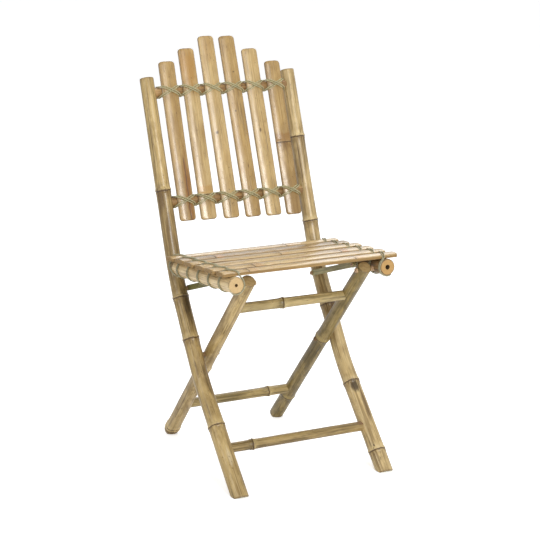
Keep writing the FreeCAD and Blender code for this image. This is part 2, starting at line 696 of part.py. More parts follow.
def seat_lashing_points(side):
    """Round a rail in each gap between slats, and slanting outward over each slat."""
    stand = value("twine_dia") / 2 + value("twine_gap")
    over = value("seat_rail_front_dia") / 2 + stand
    rim = value("seat_slat_seat") + value("seat_slat_edge")
    skin = rim + value("seat_slat_crown") + stand
    dia = value("twine_dia")
    rise = over * 0.43
    gap = value("seat_slat_gap")

    def spot(along, outward, up):
        return FreeCAD.Vector(SIDES[side] * outward, along, up)

    def climb(along, way, outward):
        """From a gap up and over the rim of the slat beside it, or the same points backward."""
        return [spot(along, outward * rise, rim - 1.2 * stand),
                spot(along + way * 0.35 * dia, outward * rise * 0.96, rim + stand),
                spot(along + way * 1.6 * dia, outward * rise * 0.84, rim + 1.9 * stand)]

    def around(along, degrees):
        return [spot(along, over * math.cos(math.radians(turn)), over * math.sin(math.radians(turn)))
                for turn in degrees]

    starts = [value("seat_front_margin") - gap / 2]
    for number in range(1, SLATS + 1):
        width = value("end_slat_width" if number in (1, SLATS) else "seat_slat_width")
        starts.append(starts[-1] + width + gap)
    front, rear = starts[0], starts[-1]
    points = around(front + dia, [-60]) + around(front, [-105, -140, -175, 150])
    for this_gap, next_gap in zip(starts, starts[1:]):
        if this_gap != front:
            points += around(this_gap, [30, 7, -30, -67, -113, -150, 173, 150])
        points += climb(this_gap, 1, -1)
        points += [spot((this_gap + next_gap) / 2, 0, skin)]
        points += reversed(climb(next_gap, -1, 1))
    points += around(rear, [30])
    for back, turn in ((1.4, 8), (4.2, -16), (6.2, -45), (7.4, -76), (8.0, -107)):
        points += around(rear - back * dia, [turn])
    return points


def make_seat_lashing(side):
    x = SIDES[side] * value("seat_rail_spacing") / 2
    centre = FreeCAD.Vector(x, value("seat_rail_front_y"), value("seat_rail_front_height"))
    return make_lashing("seat_lashing_" + side, seat_lashing_points(side),
                        FreeCAD.Placement(centre, FreeCAD.Rotation(X_AXIS, -value("seat_slope"))))


# The back frame: two posts, three cross poles, six slats, their twine and the fixed pegs.
pieces = [make_post(side) for side in SIDES]
for rail, rail_dia, rail_height, rail_node in (
        ("back_rail_top", "back_rail_dia", "top_rail_height", None),
        ("back_rail_lower", "back_rail_dia", "lower_rail_height", None),
        ("front_stretcher", "front_stretcher_dia", "front_stretcher_height", "front_stretcher_node")):
    pieces.append(make_cross_pole(rail, rail_dia, "post_spacing", post_line(rail_height)[0],
                                  rail_height, rail_node))
pieces += [make_back_slat(number) for number in range(1, SLATS + 1)]
pieces.append(make_back_lashing("back_lashing_top", "top_rail_height"))
pieces.append(make_back_lashing("back_lashing_lower", "lower_rail_height"))
for side in SIDES:
    pieces.append(make_peg("cross_peg_" + side, side, "cross_peg_dia", "leg_inner_x - peg_proud",
                           "post_inner_x + peg_depth", "cross_y", "cross_height", True))
    pieces.append(make_peg("link_peg_" + side, side, "link_peg_dia", "link_inner_x - peg_proud",
                           "post_inner_x + peg_depth", "post_peg_y", "link_peg_height", True))

# The leg frame: two legs, two stretchers and the pegs that stick out under the seat.
pieces += [make_leg(side) for side in SIDES]
for stretcher, stretcher_height, stretcher_node in (
        ("leg_stretcher_upper", "upper_stretcher_height", "upper_stretcher_node"),
        ("leg_stretcher_rear", "rear_stretcher_height", "rear_stretcher_node")):
    pieces.append(make_cross_pole(stretcher, "leg_stretcher_dia", "leg_spacing",
                                  leg_line(stretcher_height), stretcher_height, stretcher_node))
for side in SIDES:
    pieces.append(make_peg("seat_peg_" + side, side, "seat_peg_dia", "leg_inner_x - peg_proud",
                           "seat_peg_split_x - peg_split / 2", "seat_peg_y", "seat_peg_height", True))

# The links.
pieces += [make_link(side) for side in SIDES]

# The seat: two rails, six slats, their twine and the pegs in the rails.
pieces += [make_seat_rail(side) for side in SIDES]
pieces += [make_seat_slat(number) for number in range(1, SLATS + 1)]
pieces += [make_seat_lashing(side) for side in SIDES]
for side in SIDES:
    pieces.append(make_peg("rail_link_peg_" + side, side, "link_peg_dia", "link_inner_x - peg_proud",
                           "rail_inner_x + peg_depth", "rail_peg_y", "rail_peg_height", True))
    pieces.append(make_peg("rail_seat_peg_" + side, side, "seat_peg_dia",
                           "seat_peg_split_x + peg_split / 2", "rail_inner_x + peg_depth",
                           "seat_peg_y", "seat_peg_height", False))

doc.recompute()
for obj in doc.Objects:
    if {"Invalid", "Error"} & set(obj.State):
        raise RuntimeError(obj.Label + ": " + ", ".join(obj.State))
for piece in pieces:
    if piece.Shape.isNull() or not piece.Shape.isValid() or len(piece.Shape.Solids) != 1:
        raise RuntimeError(piece.Label + ": its shape is not one valid solid")

os.makedirs("parts", exist_ok=True)
for piece in pieces:
    piece.Shape.exportStep("parts/" + piece.Label + ".step")
whole = Part.makeCompound([piece.Shape for piece in pieces]).BoundBox
print(f"{len(pieces)} pieces, X {whole.XMin:.1f} to {whole.XMax:.1f}, "
      f"Y {whole.YMin:.1f} to {whole.YMax:.1f}, Z {whole.ZMin:.2f} to {whole.ZMax:.1f}")
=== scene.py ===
import bisect
import math

import bmesh
import bpy
import numpy
from mathutils import Matrix, Vector, noise


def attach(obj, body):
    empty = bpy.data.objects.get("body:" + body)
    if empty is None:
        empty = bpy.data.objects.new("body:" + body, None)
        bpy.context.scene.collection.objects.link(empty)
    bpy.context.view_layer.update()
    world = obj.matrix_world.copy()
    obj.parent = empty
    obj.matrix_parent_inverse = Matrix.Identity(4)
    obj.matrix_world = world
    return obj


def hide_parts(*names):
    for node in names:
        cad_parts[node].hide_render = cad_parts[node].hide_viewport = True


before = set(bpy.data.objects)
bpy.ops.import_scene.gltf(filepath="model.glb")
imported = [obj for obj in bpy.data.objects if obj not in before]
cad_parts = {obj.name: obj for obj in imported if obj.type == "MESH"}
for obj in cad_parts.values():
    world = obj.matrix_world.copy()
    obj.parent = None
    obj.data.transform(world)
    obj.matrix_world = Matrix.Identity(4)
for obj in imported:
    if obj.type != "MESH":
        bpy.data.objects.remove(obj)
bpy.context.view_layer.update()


# The two long posts: thick bamboo culms bent over heat at a knee and a waist. They stand
# on the front feet and lean back as the uprights of the back. The tops are sawn square and
# sanded, the feet are sawn level with the floor and blunt in front.
def srgb(red, green, blue):
    """A colour as it looks on a screen, from 0 to 255, in the renderer's linear numbers."""
    def linear(part):
        part /= 255
        return part / 12.92 if part <= 0.04045 else ((part + 0.055) / 1.055) ** 2.4
    return (linear(red), linear(green), linear(blue), 1.0)


def put(tree, kind, inputs=None, **settings):
    """Add a node. Settings are its own, and inputs are its sockets' values or what feeds them."""
    node = tree.nodes.new(kind)
    for name, setting in settings.items():
        setattr(node, name, setting)
    for socket, given in (inputs or {}).items():
        if isinstance(given, bpy.types.NodeSocket):
            tree.links.new(given, node.inputs[socket])
        else:
            node.inputs[socket].default_value = given
    return node


def plus(tree, first, second):
    return put(tree, "ShaderNodeMath", {0: first, 1: second}, operation="ADD").outputs[0]


def minus(tree, first, second):
    return put(tree, "ShaderNodeMath", {0: first, 1: second}, operation="SUBTRACT").outputs[0]


def times(tree, first, second):
    return put(tree, "ShaderNodeMath", {0: first, 1: second}, operation="MULTIPLY").outputs[0]


def unsigned(tree, value):
    return put(tree, "ShaderNodeMath", {0: value}, operation="ABSOLUTE").outputs[0]


def ramp(tree, fed, low, high, start=0.0, end=1.0):
    """Start below low, end above high, and a smooth step between them."""
    inputs = {"Value": fed, "From Min": low, "From Max": high, "To Min": start, "To Max": end}
    return put(tree, "ShaderNodeMapRange", inputs, interpolation_type="SMOOTHSTEP").outputs[0]


def tint(tree, share, under, over):
    """Under, covered by over where share is 1."""
    return put(tree, "ShaderNodeMix", {0: share, 6: under, 7: over}, data_type="RGBA").outputs[2]


def stretched(tree, vector, seed, across, along):
    """The straightened pole's own place, scaled across and along its fibres, and moved by a seed."""
    moved = put(tree, "ShaderNodeVectorMath", {0: vector, 1: (across, across, along)}, operation="MULTIPLY")
    shift = put(tree, "ShaderNodeCombineXYZ", {0: seed, 1: seed, 2: seed})
    return put(tree, "ShaderNodeVectorMath", {0: moved.outputs[0], 1: shift.outputs[0]}).outputs[0]


def cloudy(tree, vector, detail=2.0, rough=0.5, bend=0.0):
    inputs = {"Vector": vector, "Scale": 1.0, "Detail": detail, "Roughness": rough, "Distortion": bend}
    return put(tree, "ShaderNodeTexNoise", inputs).outputs[0]


def new_group(name, inputs, outputs):
    """An empty node group with float inputs and outputs, except for Vector, Place and Size."""
    group = bpy.data.node_groups.new(name, "ShaderNodeTree")
    for label, in_out in [(i, "INPUT") for i in inputs] + [(o, "OUTPUT") for o in outputs]:
        kind = "NodeSocketVector" if label in ("Vector", "Place", "Size") else "NodeSocketFloat"
        group.interface.new_socket(name=label, in_out=in_out, socket_type=kind)
    return group, group.nodes.new("NodeGroupInput").outputs, group.nodes.new("NodeGroupOutput").inputs


def culm_grain():
    """Fine fibres, broad streaks, dark veins, clouds and specks that all run along the culm."""
    group, given, out = new_group("culm_grain", ["Vector", "Seed"],
                                  ["Fibre", "Streak", "Vein", "Cloud", "Patch", "Speck", "Height"])

    def noise_of(across, along, detail, bend=0.0):
        place = stretched(group, given["Vector"], given["Seed"], across, along)
        return cloudy(group, place, detail, 0.6, bend)

    # Each noise: how fine it is across and along the culm, its detail and its bend.
    fine, broad, veins = noise_of(900, 20, 3.0), noise_of(230, 6, 3.0, 0.3), noise_of(340, 9, 3.0)
    cloud, dots, patch = noise_of(80, 30, 5.0, 0.8), noise_of(330, 150, 2.0), noise_of(34, 12, 3.0, 0.6)
    vein = times(group, ramp(group, veins, 0.57, 0.66), ramp(group, patch, 0.34, 0.56))
    lumps = plus(group, times(group, fine, 0.5), times(group, broad, 0.5))
    masks = {"Fibre": ramp(group, fine, 0.36, 0.66), "Streak": ramp(group, broad, 0.48, 0.62), "Vein": vein,
             "Cloud": ramp(group, cloud, 0.42, 0.66), "Patch": ramp(group, patch, 0.42, 0.62),
             "Speck": times(group, ramp(group, dots, 0.64, 0.70), ramp(group, cloud, 0.38, 0.52)),
             "Height": minus(group, lumps, times(group, vein, 0.5))}
    for name, mask in masks.items():
        group.links.new(mask, out[name])
    return group


NODE_REACH, NODE_FADE, NODE_GROOVE = 0.036, 0.008, 0.0026


def culm_ring():
    """The scar of a culm's node: a dark line, brown under it, and above it a bloom or a planed band."""
    group, given, out = new_group("culm_ring", ["Vector", "Gap", "Near"], ["Line", "Scar", "Bloom", "Band"])
    wave = cloudy(group, stretched(group, given["Vector"], 3.7, 190, 60), 3.0)
    uneven = times(group, minus(group, wave, 0.5), 0.004)
    gap = plus(group, given["Gap"], uneven)

    rough_edge = plus(group, gap, times(group, uneven, 1.5))
    below = times(group, ramp(group, gap, -0.030, -0.004), ramp(group, gap, -0.002, 0.0, 1.0, 0.0))
    above = times(group, ramp(group, gap, -0.0022, 0.0004), ramp(group, gap, 0.002, 0.014, 1.0, 0.0))
    planed = times(group, ramp(group, gap, -0.0012, 0.0008), ramp(group, rough_edge, 0.0145, 0.0190, 1.0, 0.0))
    to_line = unsigned(group, plus(group, gap, NODE_GROOVE))
    masks = {"Line": ramp(group, to_line, 0.0005, 0.0018, 1.0, 0.0), "Bloom": above, "Band": planed,
             "Scar": times(group, below, ramp(group, wave, 0.30, 0.62))}
    for name, mask in masks.items():
        group.links.new(times(group, mask, given["Near"]), out[name])
    return group


def skin_smudge():
    """One stain with ragged ends, around a place on the straightened pole."""
    group, given, out = new_group("skin_smudge", ["Vector", "Place", "Size", "Seed"], ["Mask"])
    away = put(group, "ShaderNodeVectorMath", {0: given["Vector"], 1: given["Place"]}, operation="SUBTRACT")
    share = put(group, "ShaderNodeVectorMath", {0: away.outputs[0], 1: given["Size"]}, operation="DIVIDE")
    far = put(group, "ShaderNodeVectorMath", {0: share.outputs[0]}, operation="LENGTH").outputs["Value"]
    ragged = cloudy(group, stretched(group, given["Vector"], given["Seed"], 260, 30), 4.0, 0.6)
    reach = plus(group, far, times(group, minus(group, ragged, 0.5), 1.6))
    group.links.new(ramp(group, reach, 0.35, 1.05, 1.0, 0.0), out["Mask"])
    return group


def dark_arris():
    """A dark line along a slat's edge that comes and goes along the edge: painted shade at the edge and in the
    gaps between the slats, on the skin's own darker rim.
    """
    group, given, out = new_group("dark_arris", ["Vector", "Edge"], ["Rub"])
    wave = cloudy(group, stretched(group, given["Vector"], 8.3, 300, 45), 3.0)
    rim_and_shade = times(group, ramp(group, given["Edge"], 0.15, 0.8), ramp(group, wave, 0.28, 0.55, 0.35, 1.0))
    group.links.new(rim_and_shade, out["Rub"])
    return group


GRAIN, RING, SMUDGE, ARRIS = culm_grain(), culm_ring(), skin_smudge(), dark_arris()


def surface(name, rough, gloss):
    """A material with its shader's plain numbers set, its tree and its shader."""
    material = bpy.data.materials.new(name)
    material.use_nodes = True
    tree = material.node_tree
    shader = tree.nodes["Principled BSDF"]
    shader.inputs["Roughness"].default_value = rough
    shader.inputs["Specular IOR Level"].default_value = 0.45
    shader.inputs["Coat Weight"].default_value = gloss
    shader.inputs["Coat Roughness"].default_value = 0.22
    return material, tree, shader


def attribute(tree, name):
    return put(tree, "ShaderNodeAttribute", attribute_name=name)


def feed(tree, shader, colour, rough, height, depth, strength=0.6):
    """Feed the shader its colour, its roughness and a bump that is depth metres deep."""
    bump = put(tree, "ShaderNodeBump", {"Height": height, "Strength": strength, "Distance": depth})
    for socket, fed in (("Base Color", colour), ("Roughness", rough), ("Normal", bump.outputs[0])):
        tree.links.new(fed, shader.inputs[socket])


# The third brown is painted shade along the edges, on the skin's own darker rim.
SPECK_BROWN, LINE_BROWN, RIM_AND_SHADE_BROWN, CRACK_BROWN = (96, 70, 38), (78, 56, 30), (112, 88, 52), (92, 62, 32)
CRACK_WANDER, CRACK_FADE = 0.006, 0.006


def drying_crack(tree, straight, seed, place, start, end, width):
    """The mask of one drying split: its place across, its two ends along, and its width."""
    parts = put(tree, "ShaderNodeSeparateXYZ", {0: straight}).outputs
    wave = minus(tree, cloudy(tree, stretched(tree, straight, seed, 0, 24), 3.0), 0.5)
    centre = plus(tree, times(tree, wave, CRACK_WANDER), place)
    off = unsigned(tree, minus(tree, parts[0], centre))
    after_start = ramp(tree, parts[2], start - CRACK_FADE, start + CRACK_FADE)
    before_end = ramp(tree, parts[2], end - CRACK_FADE, end + CRACK_FADE, 1.0, 0.0)
    crack = times(tree, ramp(tree, off, width * 0.25, width, 1.0, 0.0), after_start)
    return times(tree, crack, before_end)


def bamboo_skin(name, seed, pale, mid, dark, stain, streaks=0.55, clouds=0.5, rough=0.42, gloss=0.25,
                veins=0.7, patches=0.5, band=0.0, scar=0.7, orange=(196, 134, 70), arris=0.6, splits=(),
                smudges=()):
    """The outer skin of a culm, from pale straw to its dark streaks, with its nodes and a dark line along its
    edges that is partly painted shade.

    splits are (place, start, end, width) of the drying splits, in metres across and along the piece. smudges
    are (place, size, colour, strength) of single stains, placed across, up and along the piece."""
    material, tree, shader = surface(name, rough, gloss)
    straight = attribute(tree, "straight").outputs["Vector"]
    tone = attribute(tree, "tone").outputs["Fac"]
    grain = put(tree, "ShaderNodeGroup", {"Vector": straight, "Seed": seed}, node_tree=GRAIN).outputs
    ring_inputs = {"Vector": straight, "Gap": attribute(tree, "node_gap").outputs["Fac"],
                   "Near": attribute(tree, "near_node").outputs["Fac"]}
    ring = put(tree, "ShaderNodeGroup", ring_inputs, node_tree=RING).outputs
    rim_and_shade = put(tree, "ShaderNodeGroup", {"Vector": straight, "Edge": attribute(tree, "edge").outputs["Fac"]},
              node_tree=ARRIS).outputs["Rub"]

    def cover(colour, mask, share, over):
        return tint(tree, times(tree, mask, share), colour, srgb(*over))

    colour = cover(srgb(*mid), grain["Fibre"], 0.6, pale)
    colour = cover(colour, grain["Cloud"], clouds, stain)
    stained = times(tree, grain["Patch"], plus(tree, tone, 0.15))
    colour = cover(colour, stained, patches * 1.6, dark)
    colour = cover(colour, grain["Streak"], streaks, dark)
    darker = put(tree, "ShaderNodeMix", {0: tone, 6: colour, 7: srgb(*dark)}, data_type="RGBA",
                 blend_type="MULTIPLY").outputs[2]
    colour = tint(tree, 0.45, colour, darker)
    colour = cover(colour, ring["Bloom"], 0.35, pale)
    colour = cover(colour, ring["Band"], band, orange)
    colour = cover(colour, ring["Scar"], scar, dark)
    for number, (place, size, over, share) in enumerate(smudges):
        mask = put(tree, "ShaderNodeGroup", {"Vector": straight, "Place": place, "Size": size,
                                             "Seed": seed + number}, node_tree=SMUDGE).outputs["Mask"]
        colour = cover(colour, mask, share, over)
    colour = cover(colour, grain["Vein"], veins, tuple(part * 0.62 for part in dark))
    colour = cover(colour, grain["Speck"], 0.6, SPECK_BROWN)
    colour = cover(colour, ring["Line"], 0.85, LINE_BROWN)
    # Painted shade along the edges, on the skin's own darker rim.
    colour = cover(colour, rim_and_shade, arris, RIM_AND_SHADE_BROWN)
    height = minus(tree, grain["Height"], times(tree, ring["Line"], 1.2))
    for split in splits:
        crack = drying_crack(tree, straight, seed + 5, *split)
        colour = cover(colour, crack, 0.8, CRACK_BROWN)
        height = minus(tree, height, times(tree, crack, 1.5))
    dull = plus(tree, times(tree, grain["Fibre"], 0.12), times(tree, grain["Cloud"], 0.14))
    feed(tree, shader, colour, plus(tree, dull, rough - 0.1), height, 0.0004)
    return material


def sawn_bamboo(name, seed, pale, mid, dark, dots_share=0.45, mottled=0.5, pith_shade=(44, 30, 16)):
    """A sawn end: dots of fibre that crowd towards the skin, a brown rim, and painted shade inside the pith
    hole.
    """
    material, tree, shader = surface(name, 0.62, 0.05)
    straight = attribute(tree, "straight").outputs["Vector"]
    depth = attribute(tree, "edge").outputs["Fac"]
    flat = stretched(tree, straight, seed, 1.0, 0.0)
    cell = put(tree, "ShaderNodeTexVoronoi", {"Vector": flat, "Scale": 1000.0, "Randomness": 0.9})
    dots = ramp(tree, cell.outputs["Distance"], 0.14, 0.34, 1.0, 0.0)
    crowd = ramp(tree, depth, 0.2, 1.0, 0.1 * dots_share, dots_share)
    mottle = cloudy(tree, stretched(tree, straight, seed, 240, 60), 3.0)
    saw = cloudy(tree, stretched(tree, straight, seed, 90, 40), 2.0)
    colour = tint(tree, ramp(tree, mottle, 0.36, 0.64, 0.0, mottled), srgb(*mid), srgb(*pale))
    colour = tint(tree, times(tree, dots, crowd), colour, srgb(*dark))
    colour = tint(tree, ramp(tree, depth, 0.88, 1.0, 0.0, 0.75), colour, srgb(*dark))
    colour = tint(tree, ramp(tree, saw, 0.56, 0.72, 0.0, 0.5 * mottled), colour, srgb(*dark))
    # Painted shade inside the pith's hole.
    colour = tint(tree, ramp(tree, depth, -0.6, -0.1, 0.9, 0.0), colour, srgb(*pith_shade))
    dull = ramp(tree, mottle, 0.3, 0.7, 0.55, 0.75)
    feed(tree, shader, colour, dull, minus(tree, mottle, dots), 0.00015)
    return material


def solid_mesh(name, points, faces, kinds, marks, materials):
    """An object from its points and faces. kinds picks each face's material and marks are its attributes."""
    mesh = bpy.data.meshes.new(name)
    mesh.from_pydata([tuple(p) for p in points], [], faces)
    for mark, values in marks.items():
        wide = numpy.ndim(values) == 2
        layer = mesh.attributes.new(mark, "FLOAT_VECTOR" if wide else "FLOAT", "POINT")
        layer.data.foreach_set("vector" if wide else "value", numpy.asarray(values, numpy.float32).ravel())
    mesh.polygons.foreach_set("material_index", kinds)
    mesh.polygons.foreach_set("use_smooth", [True] * len(faces))
    for material in materials:
        mesh.materials.append(material)
    shape = bmesh.new()
    shape.from_mesh(mesh)
    bmesh.ops.recalc_face_normals(shape, faces=shape.faces)
    shape.to_mesh(mesh)
    shape.free()
    piece = bpy.data.objects.new(name, mesh)
    bpy.context.scene.collection.objects.link(piece)
    return piece


def finish_piece(piece, body, node):
    """Ride on a body, and stand for a CAD node of the same place, which is hidden."""
    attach(piece, body)
    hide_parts(node)


def steps(start, end, coarse, marks, fine, reach):
    """Rows from start to end: coarse, and fine within reach of each mark."""
    rows = set(numpy.round(numpy.linspace(start, end, max(2, int((end - start) / coarse))), 6))
    for mark in marks:
        near = numpy.arange(mark - reach, mark + reach, fine)
        rows |= set(numpy.round(near[(near > start) & (near < end)], 6))
    rows = sorted(rows)
    kept = [rows[0]]
    for row in rows[1:]:
        if row - kept[-1] > fine * 0.6:
            kept.append(row)
    kept[-1] = rows[-1]
    return kept


def near_node(gap):
    """1 close to a node and 0 halfway between two, where the gap changes its sign."""
    return max(0.0, min(1.0, (NODE_REACH - abs(gap)) / NODE_FADE))


def node_gap(along, nodes):
    """How far a place is past its nearest node, up to 50 mm either way, and 50 mm where there is no node."""
    near = min(nodes, key=lambda node: abs(along - node)) if nodes else along - 1.0
    return max(-0.05, min(0.05, along - near))


def node_bulge(gap, swell):
    """How far a node stands out: a ridge, a groove under it, a second ridge, and a soft swelling around."""
    ridge = math.exp(-(gap / 0.0030) ** 2) - 0.55 * math.exp(-((gap + NODE_GROOVE) / 0.0010) ** 2)
    second = 0.5 * math.exp(-((gap + 2 * NODE_GROOVE) / 0.0018) ** 2)
    return swell * (ridge + second + 0.35 * math.exp(-abs(gap) / 0.014) * near_node(gap))


def skin_marks(straight, gaps, tones, edges):
    """The attributes that the skin's material reads, with one value for each point."""
    return {"straight": straight, "node_gap": gaps, "near_node": [near_node(gap) for gap in gaps],
            "tone": tones, "edge": edges}


def tube_faces(rows, around, first=0):
    """The faces between rings of points, row by row from the first point, and then the two closed ends."""
    faces = []
    for row in range(rows - 1):
        for number in range(around):
            here = first + row * around + number
            there = first + row * around + (number + 1) % around
            faces.append((here, there, there + around, here + around))
    last = first + (rows - 1) * around
    return faces + [tuple(range(first, first + around)), tuple(range(last, last + around))]


def taper(start_radius, end_radius, length):
    """The radius along a culm that narrows evenly."""
    return lambda along: start_radius + (end_radius - start_radius) * along / length


ROW_STEP, NODE_STEP, NODE_SPAN = 0.009, 0.0008, 0.009
PITH_DEPTH, PITH_EDGE, PITH_LIP, FOOT_BLEND, STEADY_RADIUS = 0.022, 0.0006, 0.0005, 0.06, 0.0055


def culm(name, line, length, radii, nodes, tones, seed, materials, sides=48, rim=0.002, foot=None,
         pith=(None, None), wander=0.0003, swell=0.0013):
    """A bamboo pole. line(along) gives its centre, its heading and the way across it.

    radii(along) is its radius, nodes are the places of its swollen rings, and tones the darkness of each
    length between them. foot(up) is how far up the pole the floor's cut lies, and pith holds the radius of
    the pith's hole at each end."""

    def end_rows(at, way, hole):
        """Rows (along, radius, sawn, inside the pith) from the middle of an end out over its eased rim."""
        held, first = [], hole or 0.0
        if hole:
            held = [(at + way * depth, size, True, True)
                    for depth, size in ((PITH_DEPTH, hole * 0.5), (PITH_DEPTH, hole), (PITH_EDGE, hole))]
            held.append((at, hole + PITH_LIP, True, False))
        for share in (0.25, 0.5, 0.75, 0.92):
            held.append((at, first + PITH_LIP + (radii(at) - rim - first) * share, True, False))
        for turn in (0, 22, 45, 68, 90):
            out, back = rim * (1 - math.sin(math.radians(turn))), rim * (1 - math.cos(math.radians(turn)))
            held.append((at + way * back, radii(at) - out, turn == 0, False))
        return held

    ring_turns = [math.tau * number / sides for number in range(sides)]
    rows = end_rows(0.0, 1, pith[0])
    for along in steps(rim * 1.5, length - rim * 1.5, ROW_STEP, nodes, NODE_STEP, NODE_SPAN):
        rows.append((along, radii(along), False, False))
    rows += reversed(end_rows(length, -1, pith[1]))

    points, straight, gaps, tone_marks, edges = [], [], [], [], []
    for along, size, _, inside in rows:
        gap = node_gap(along, nodes)
        full = abs(size - radii(along)) < 1e-6
        bulge = node_bulge(gap, swell) if full else 0.0
        edge = -1.0 if inside else 0.0 if full else min(1.0, size / radii(along))
        for turn in ring_turns:
            across, up = math.cos(turn), math.sin(turn)
            rough = noise.noise(Vector((across * 0.8 + seed, up * 0.8 - seed, along * 14)))
            fine = noise.noise(Vector((across * 2.6 + seed, up * 2.6, along * 45 + seed)))
            radius = size + bulge + (wander * (rough + 0.35 * fine) if size > STEADY_RADIUS else 0.0)
            place = along
            if foot:
                place += foot(up * radius) * max(0.0, 1 - along / FOOT_BLEND)
            centre, heading, side = line(place)
            points.append(centre + side * (across * radius) + heading.cross(side) * (up * radius))
            straight.append((across * radius, up * radius, along))
        gaps += [gap] * sides
        tone_marks += [tones[bisect.bisect(sorted(nodes), along)]] * sides
        edges += [edge] * sides
    kinds = []
    for row, after in zip(rows, rows[1:]):
        kinds += [1 if row[2] and after[2] else 0] * sides
    return solid_mesh(name, points, tube_faces(len(rows), sides), kinds + [1, 1],
                      skin_marks(straight, gaps, tone_marks, edges), materials)


def bent_line(x, foot_y, slants, bends, corners):
    """The centre line of a post: straight at each slant, with an arc at each corner's height."""
    places, runs = [(foot_y, 0.0)], []
    for height, slant in zip(corners, slants):
        y, z = places[-1]
        places.append((y + (height - z) * math.tan(slant), height))
    total = 0.0
    y, z = places[0]
    for number, slant in enumerate(slants):
        cut_before = bends[number - 1] * math.tan((slants[number - 1] - slant) / 2) if number else 0.0
        last = number == len(slants) - 1
        cut_after = 0.0 if last else bends[number] * math.tan((slant - slants[number + 1]) / 2)
        rise = places[number + 1][1] - places[number][1]
        length = rise / math.cos(slant) - cut_before - cut_after
        runs.append((total, Vector((x, y, z)), slant, None))
        total += length
        y, z = y + math.sin(slant) * length, z + math.cos(slant) * length
        if not last:
            runs.append((total, Vector((x, y, z)), slant, bends[number]))
            turn, radius = slant - slants[number + 1], bends[number]
            y += radius * (math.cos(slant - turn) - math.cos(slant))
            z += radius * (math.sin(slant) - math.sin(slant - turn))
            total += radius * turn

    def line(along):
        start, origin, slant, radius = next((run for run in reversed(runs) if along >= run[0]), runs[0])
        past = along - start
        if radius is None:
            heading = Vector((0, math.sin(slant), math.cos(slant)))
            return origin + heading * past, heading, Vector((1, 0, 0))
        now = slant - past / radius
        shift = Vector((0, math.cos(now) - math.cos(slant), math.sin(slant) - math.sin(now))) * radius
        return origin + shift, Vector((0, math.sin(now), math.cos(now))), Vector((1, 0, 0))

    def at_height(height):
        low, high = 0.0, total
        while high - low > 1e-5:
            middle = (low + high) / 2
            low, high = (middle, high) if line(middle)[0].z < height else (low, middle)
        return low

    return line, total, at_height


POST_X, POST_FOOT_Y = 0.168, -0.2208
POST_SLANTS = [math.radians(turn) for turn in (43.1, 33.0, 19.6)]
POST_LEAN = POST_SLANTS[2]
POST_BENDS, POST_CORNERS = (0.400, 0.460), (0.193, 0.377, 0.791)
POST_FOOT_RADIUS, POST_TOP_RADIUS = 0.0178, 0.0150
post_end = sawn_bamboo("post_end", 2.0, (206, 196, 158), (178, 170, 132), (96, 92, 58))
STAIN_BROWN, STAIN_BLACK, SCUFFED = (92, 66, 32), (64, 50, 28), (224, 210, 176)
# Each: its X, the heights of its nodes, the tones between them, the seed, the skin's colours and the stains,
# each stain with its height, its place across and up, its size, colour and strength.
POSTS = {
    "post_left": (-POST_X, (0.116, 0.271, 0.349, 0.563), (0.2, 0.4, 0.3, 0.6, 0.1), 11.0,
                  dict(pale=(218, 194, 138), mid=(188, 160, 102), dark=(114, 88, 42), stain=(156, 128, 70)),
                  ((0.330, (0.004, -0.017), (0.011, 0.011, 0.050), STAIN_BLACK, 0.85),
                   (0.400, (-0.006, -0.016), (0.010, 0.010, 0.022), SCUFFED, 0.7),
                   (0.545, (-0.013, -0.010), (0.010, 0.010, 0.040), STAIN_BROWN, 0.7),
                   (0.190, (0.006, -0.016), (0.010, 0.010, 0.050), STAIN_BROWN, 0.45),
                   (0.060, (-0.002, -0.017), (0.006, 0.006, 0.030), SCUFFED, 0.4))),
    "post_right": (POST_X, (0.035, 0.154, 0.302, 0.473, 0.650), (0.2, 0.2, 0.35, 0.25, 0.35, 0.1), 23.0,
                   dict(pale=(230, 208, 156), mid=(202, 176, 122), dark=(120, 94, 50), stain=(168, 140, 88)),
                   ((0.142, (-0.004, -0.017), (0.011, 0.011, 0.018), STAIN_BLACK, 0.9),
                    (0.110, (0.004, -0.016), (0.008, 0.008, 0.050), STAIN_BROWN, 0.7),
                    (0.290, (0.002, -0.017), (0.009, 0.009, 0.040), STAIN_BROWN, 0.75),
                    (0.040, (-0.010, -0.014), (0.0024, 0.0024, 0.0030), STAIN_BLACK, 0.95))),
}
FOOT_TIP, FOOT_CUT = 0.004, 0.25


def post_foot(up):
    """How far past the axis's end the foot is sawn: level with the floor, and blunt in front."""
    return max(up * math.tan(POST_SLANTS[0]), FOOT_CUT * up - FOOT_TIP)


post_lines = {}
for post, (x, heights, tones, seed, colours, stains) in POSTS.items():
    line, length, at_height = bent_line(x, POST_FOOT_Y, POST_SLANTS, POST_BENDS, POST_CORNERS)
    post_lines[post] = line, at_height
    smudges = [((*place, at_height(height)), size, colour, share)
               for height, place, size, colour, share in stains]
    skin = bamboo_skin(post + "_skin", seed, streaks=0.6, clouds=0.5, gloss=0.4, smudges=smudges, **colours)
    piece = culm(post + "_culm", line, length, taper(POST_FOOT_RADIUS, POST_TOP_RADIUS, length),
                 [at_height(height) for height in heights], tones, seed, [skin, post_end], foot=post_foot)
    finish_piece(piece, "back_frame", post)


# The cross poles: thinner culms glued into blind sockets. Two carry the back slats,
# one ties the front feet, and two tie the legs. Their ends are hidden in the posts.
def cross_pole(name, half, y, z, radius, nodes, tones, seed, colours, body):
    def line(along):
        return Vector((along - half, y, z)), Vector((1, 0, 0)), Vector((0, 1, 0))
    skin = bamboo_skin(name + "_skin", seed, **colours)
    piece = culm(name + "_culm", line, 2 * half, lambda along: radius, nodes, tones, seed,
                 [skin, post_end], sides=40, rim=0.001, wander=0.00024, swell=0.0015)
    finish_piece(piece, body, name)


def post_point(height):
    """Y of a post's centre line at a height."""
    line, at_height = post_lines["post_left"]
    return line(at_height(height))[0].y


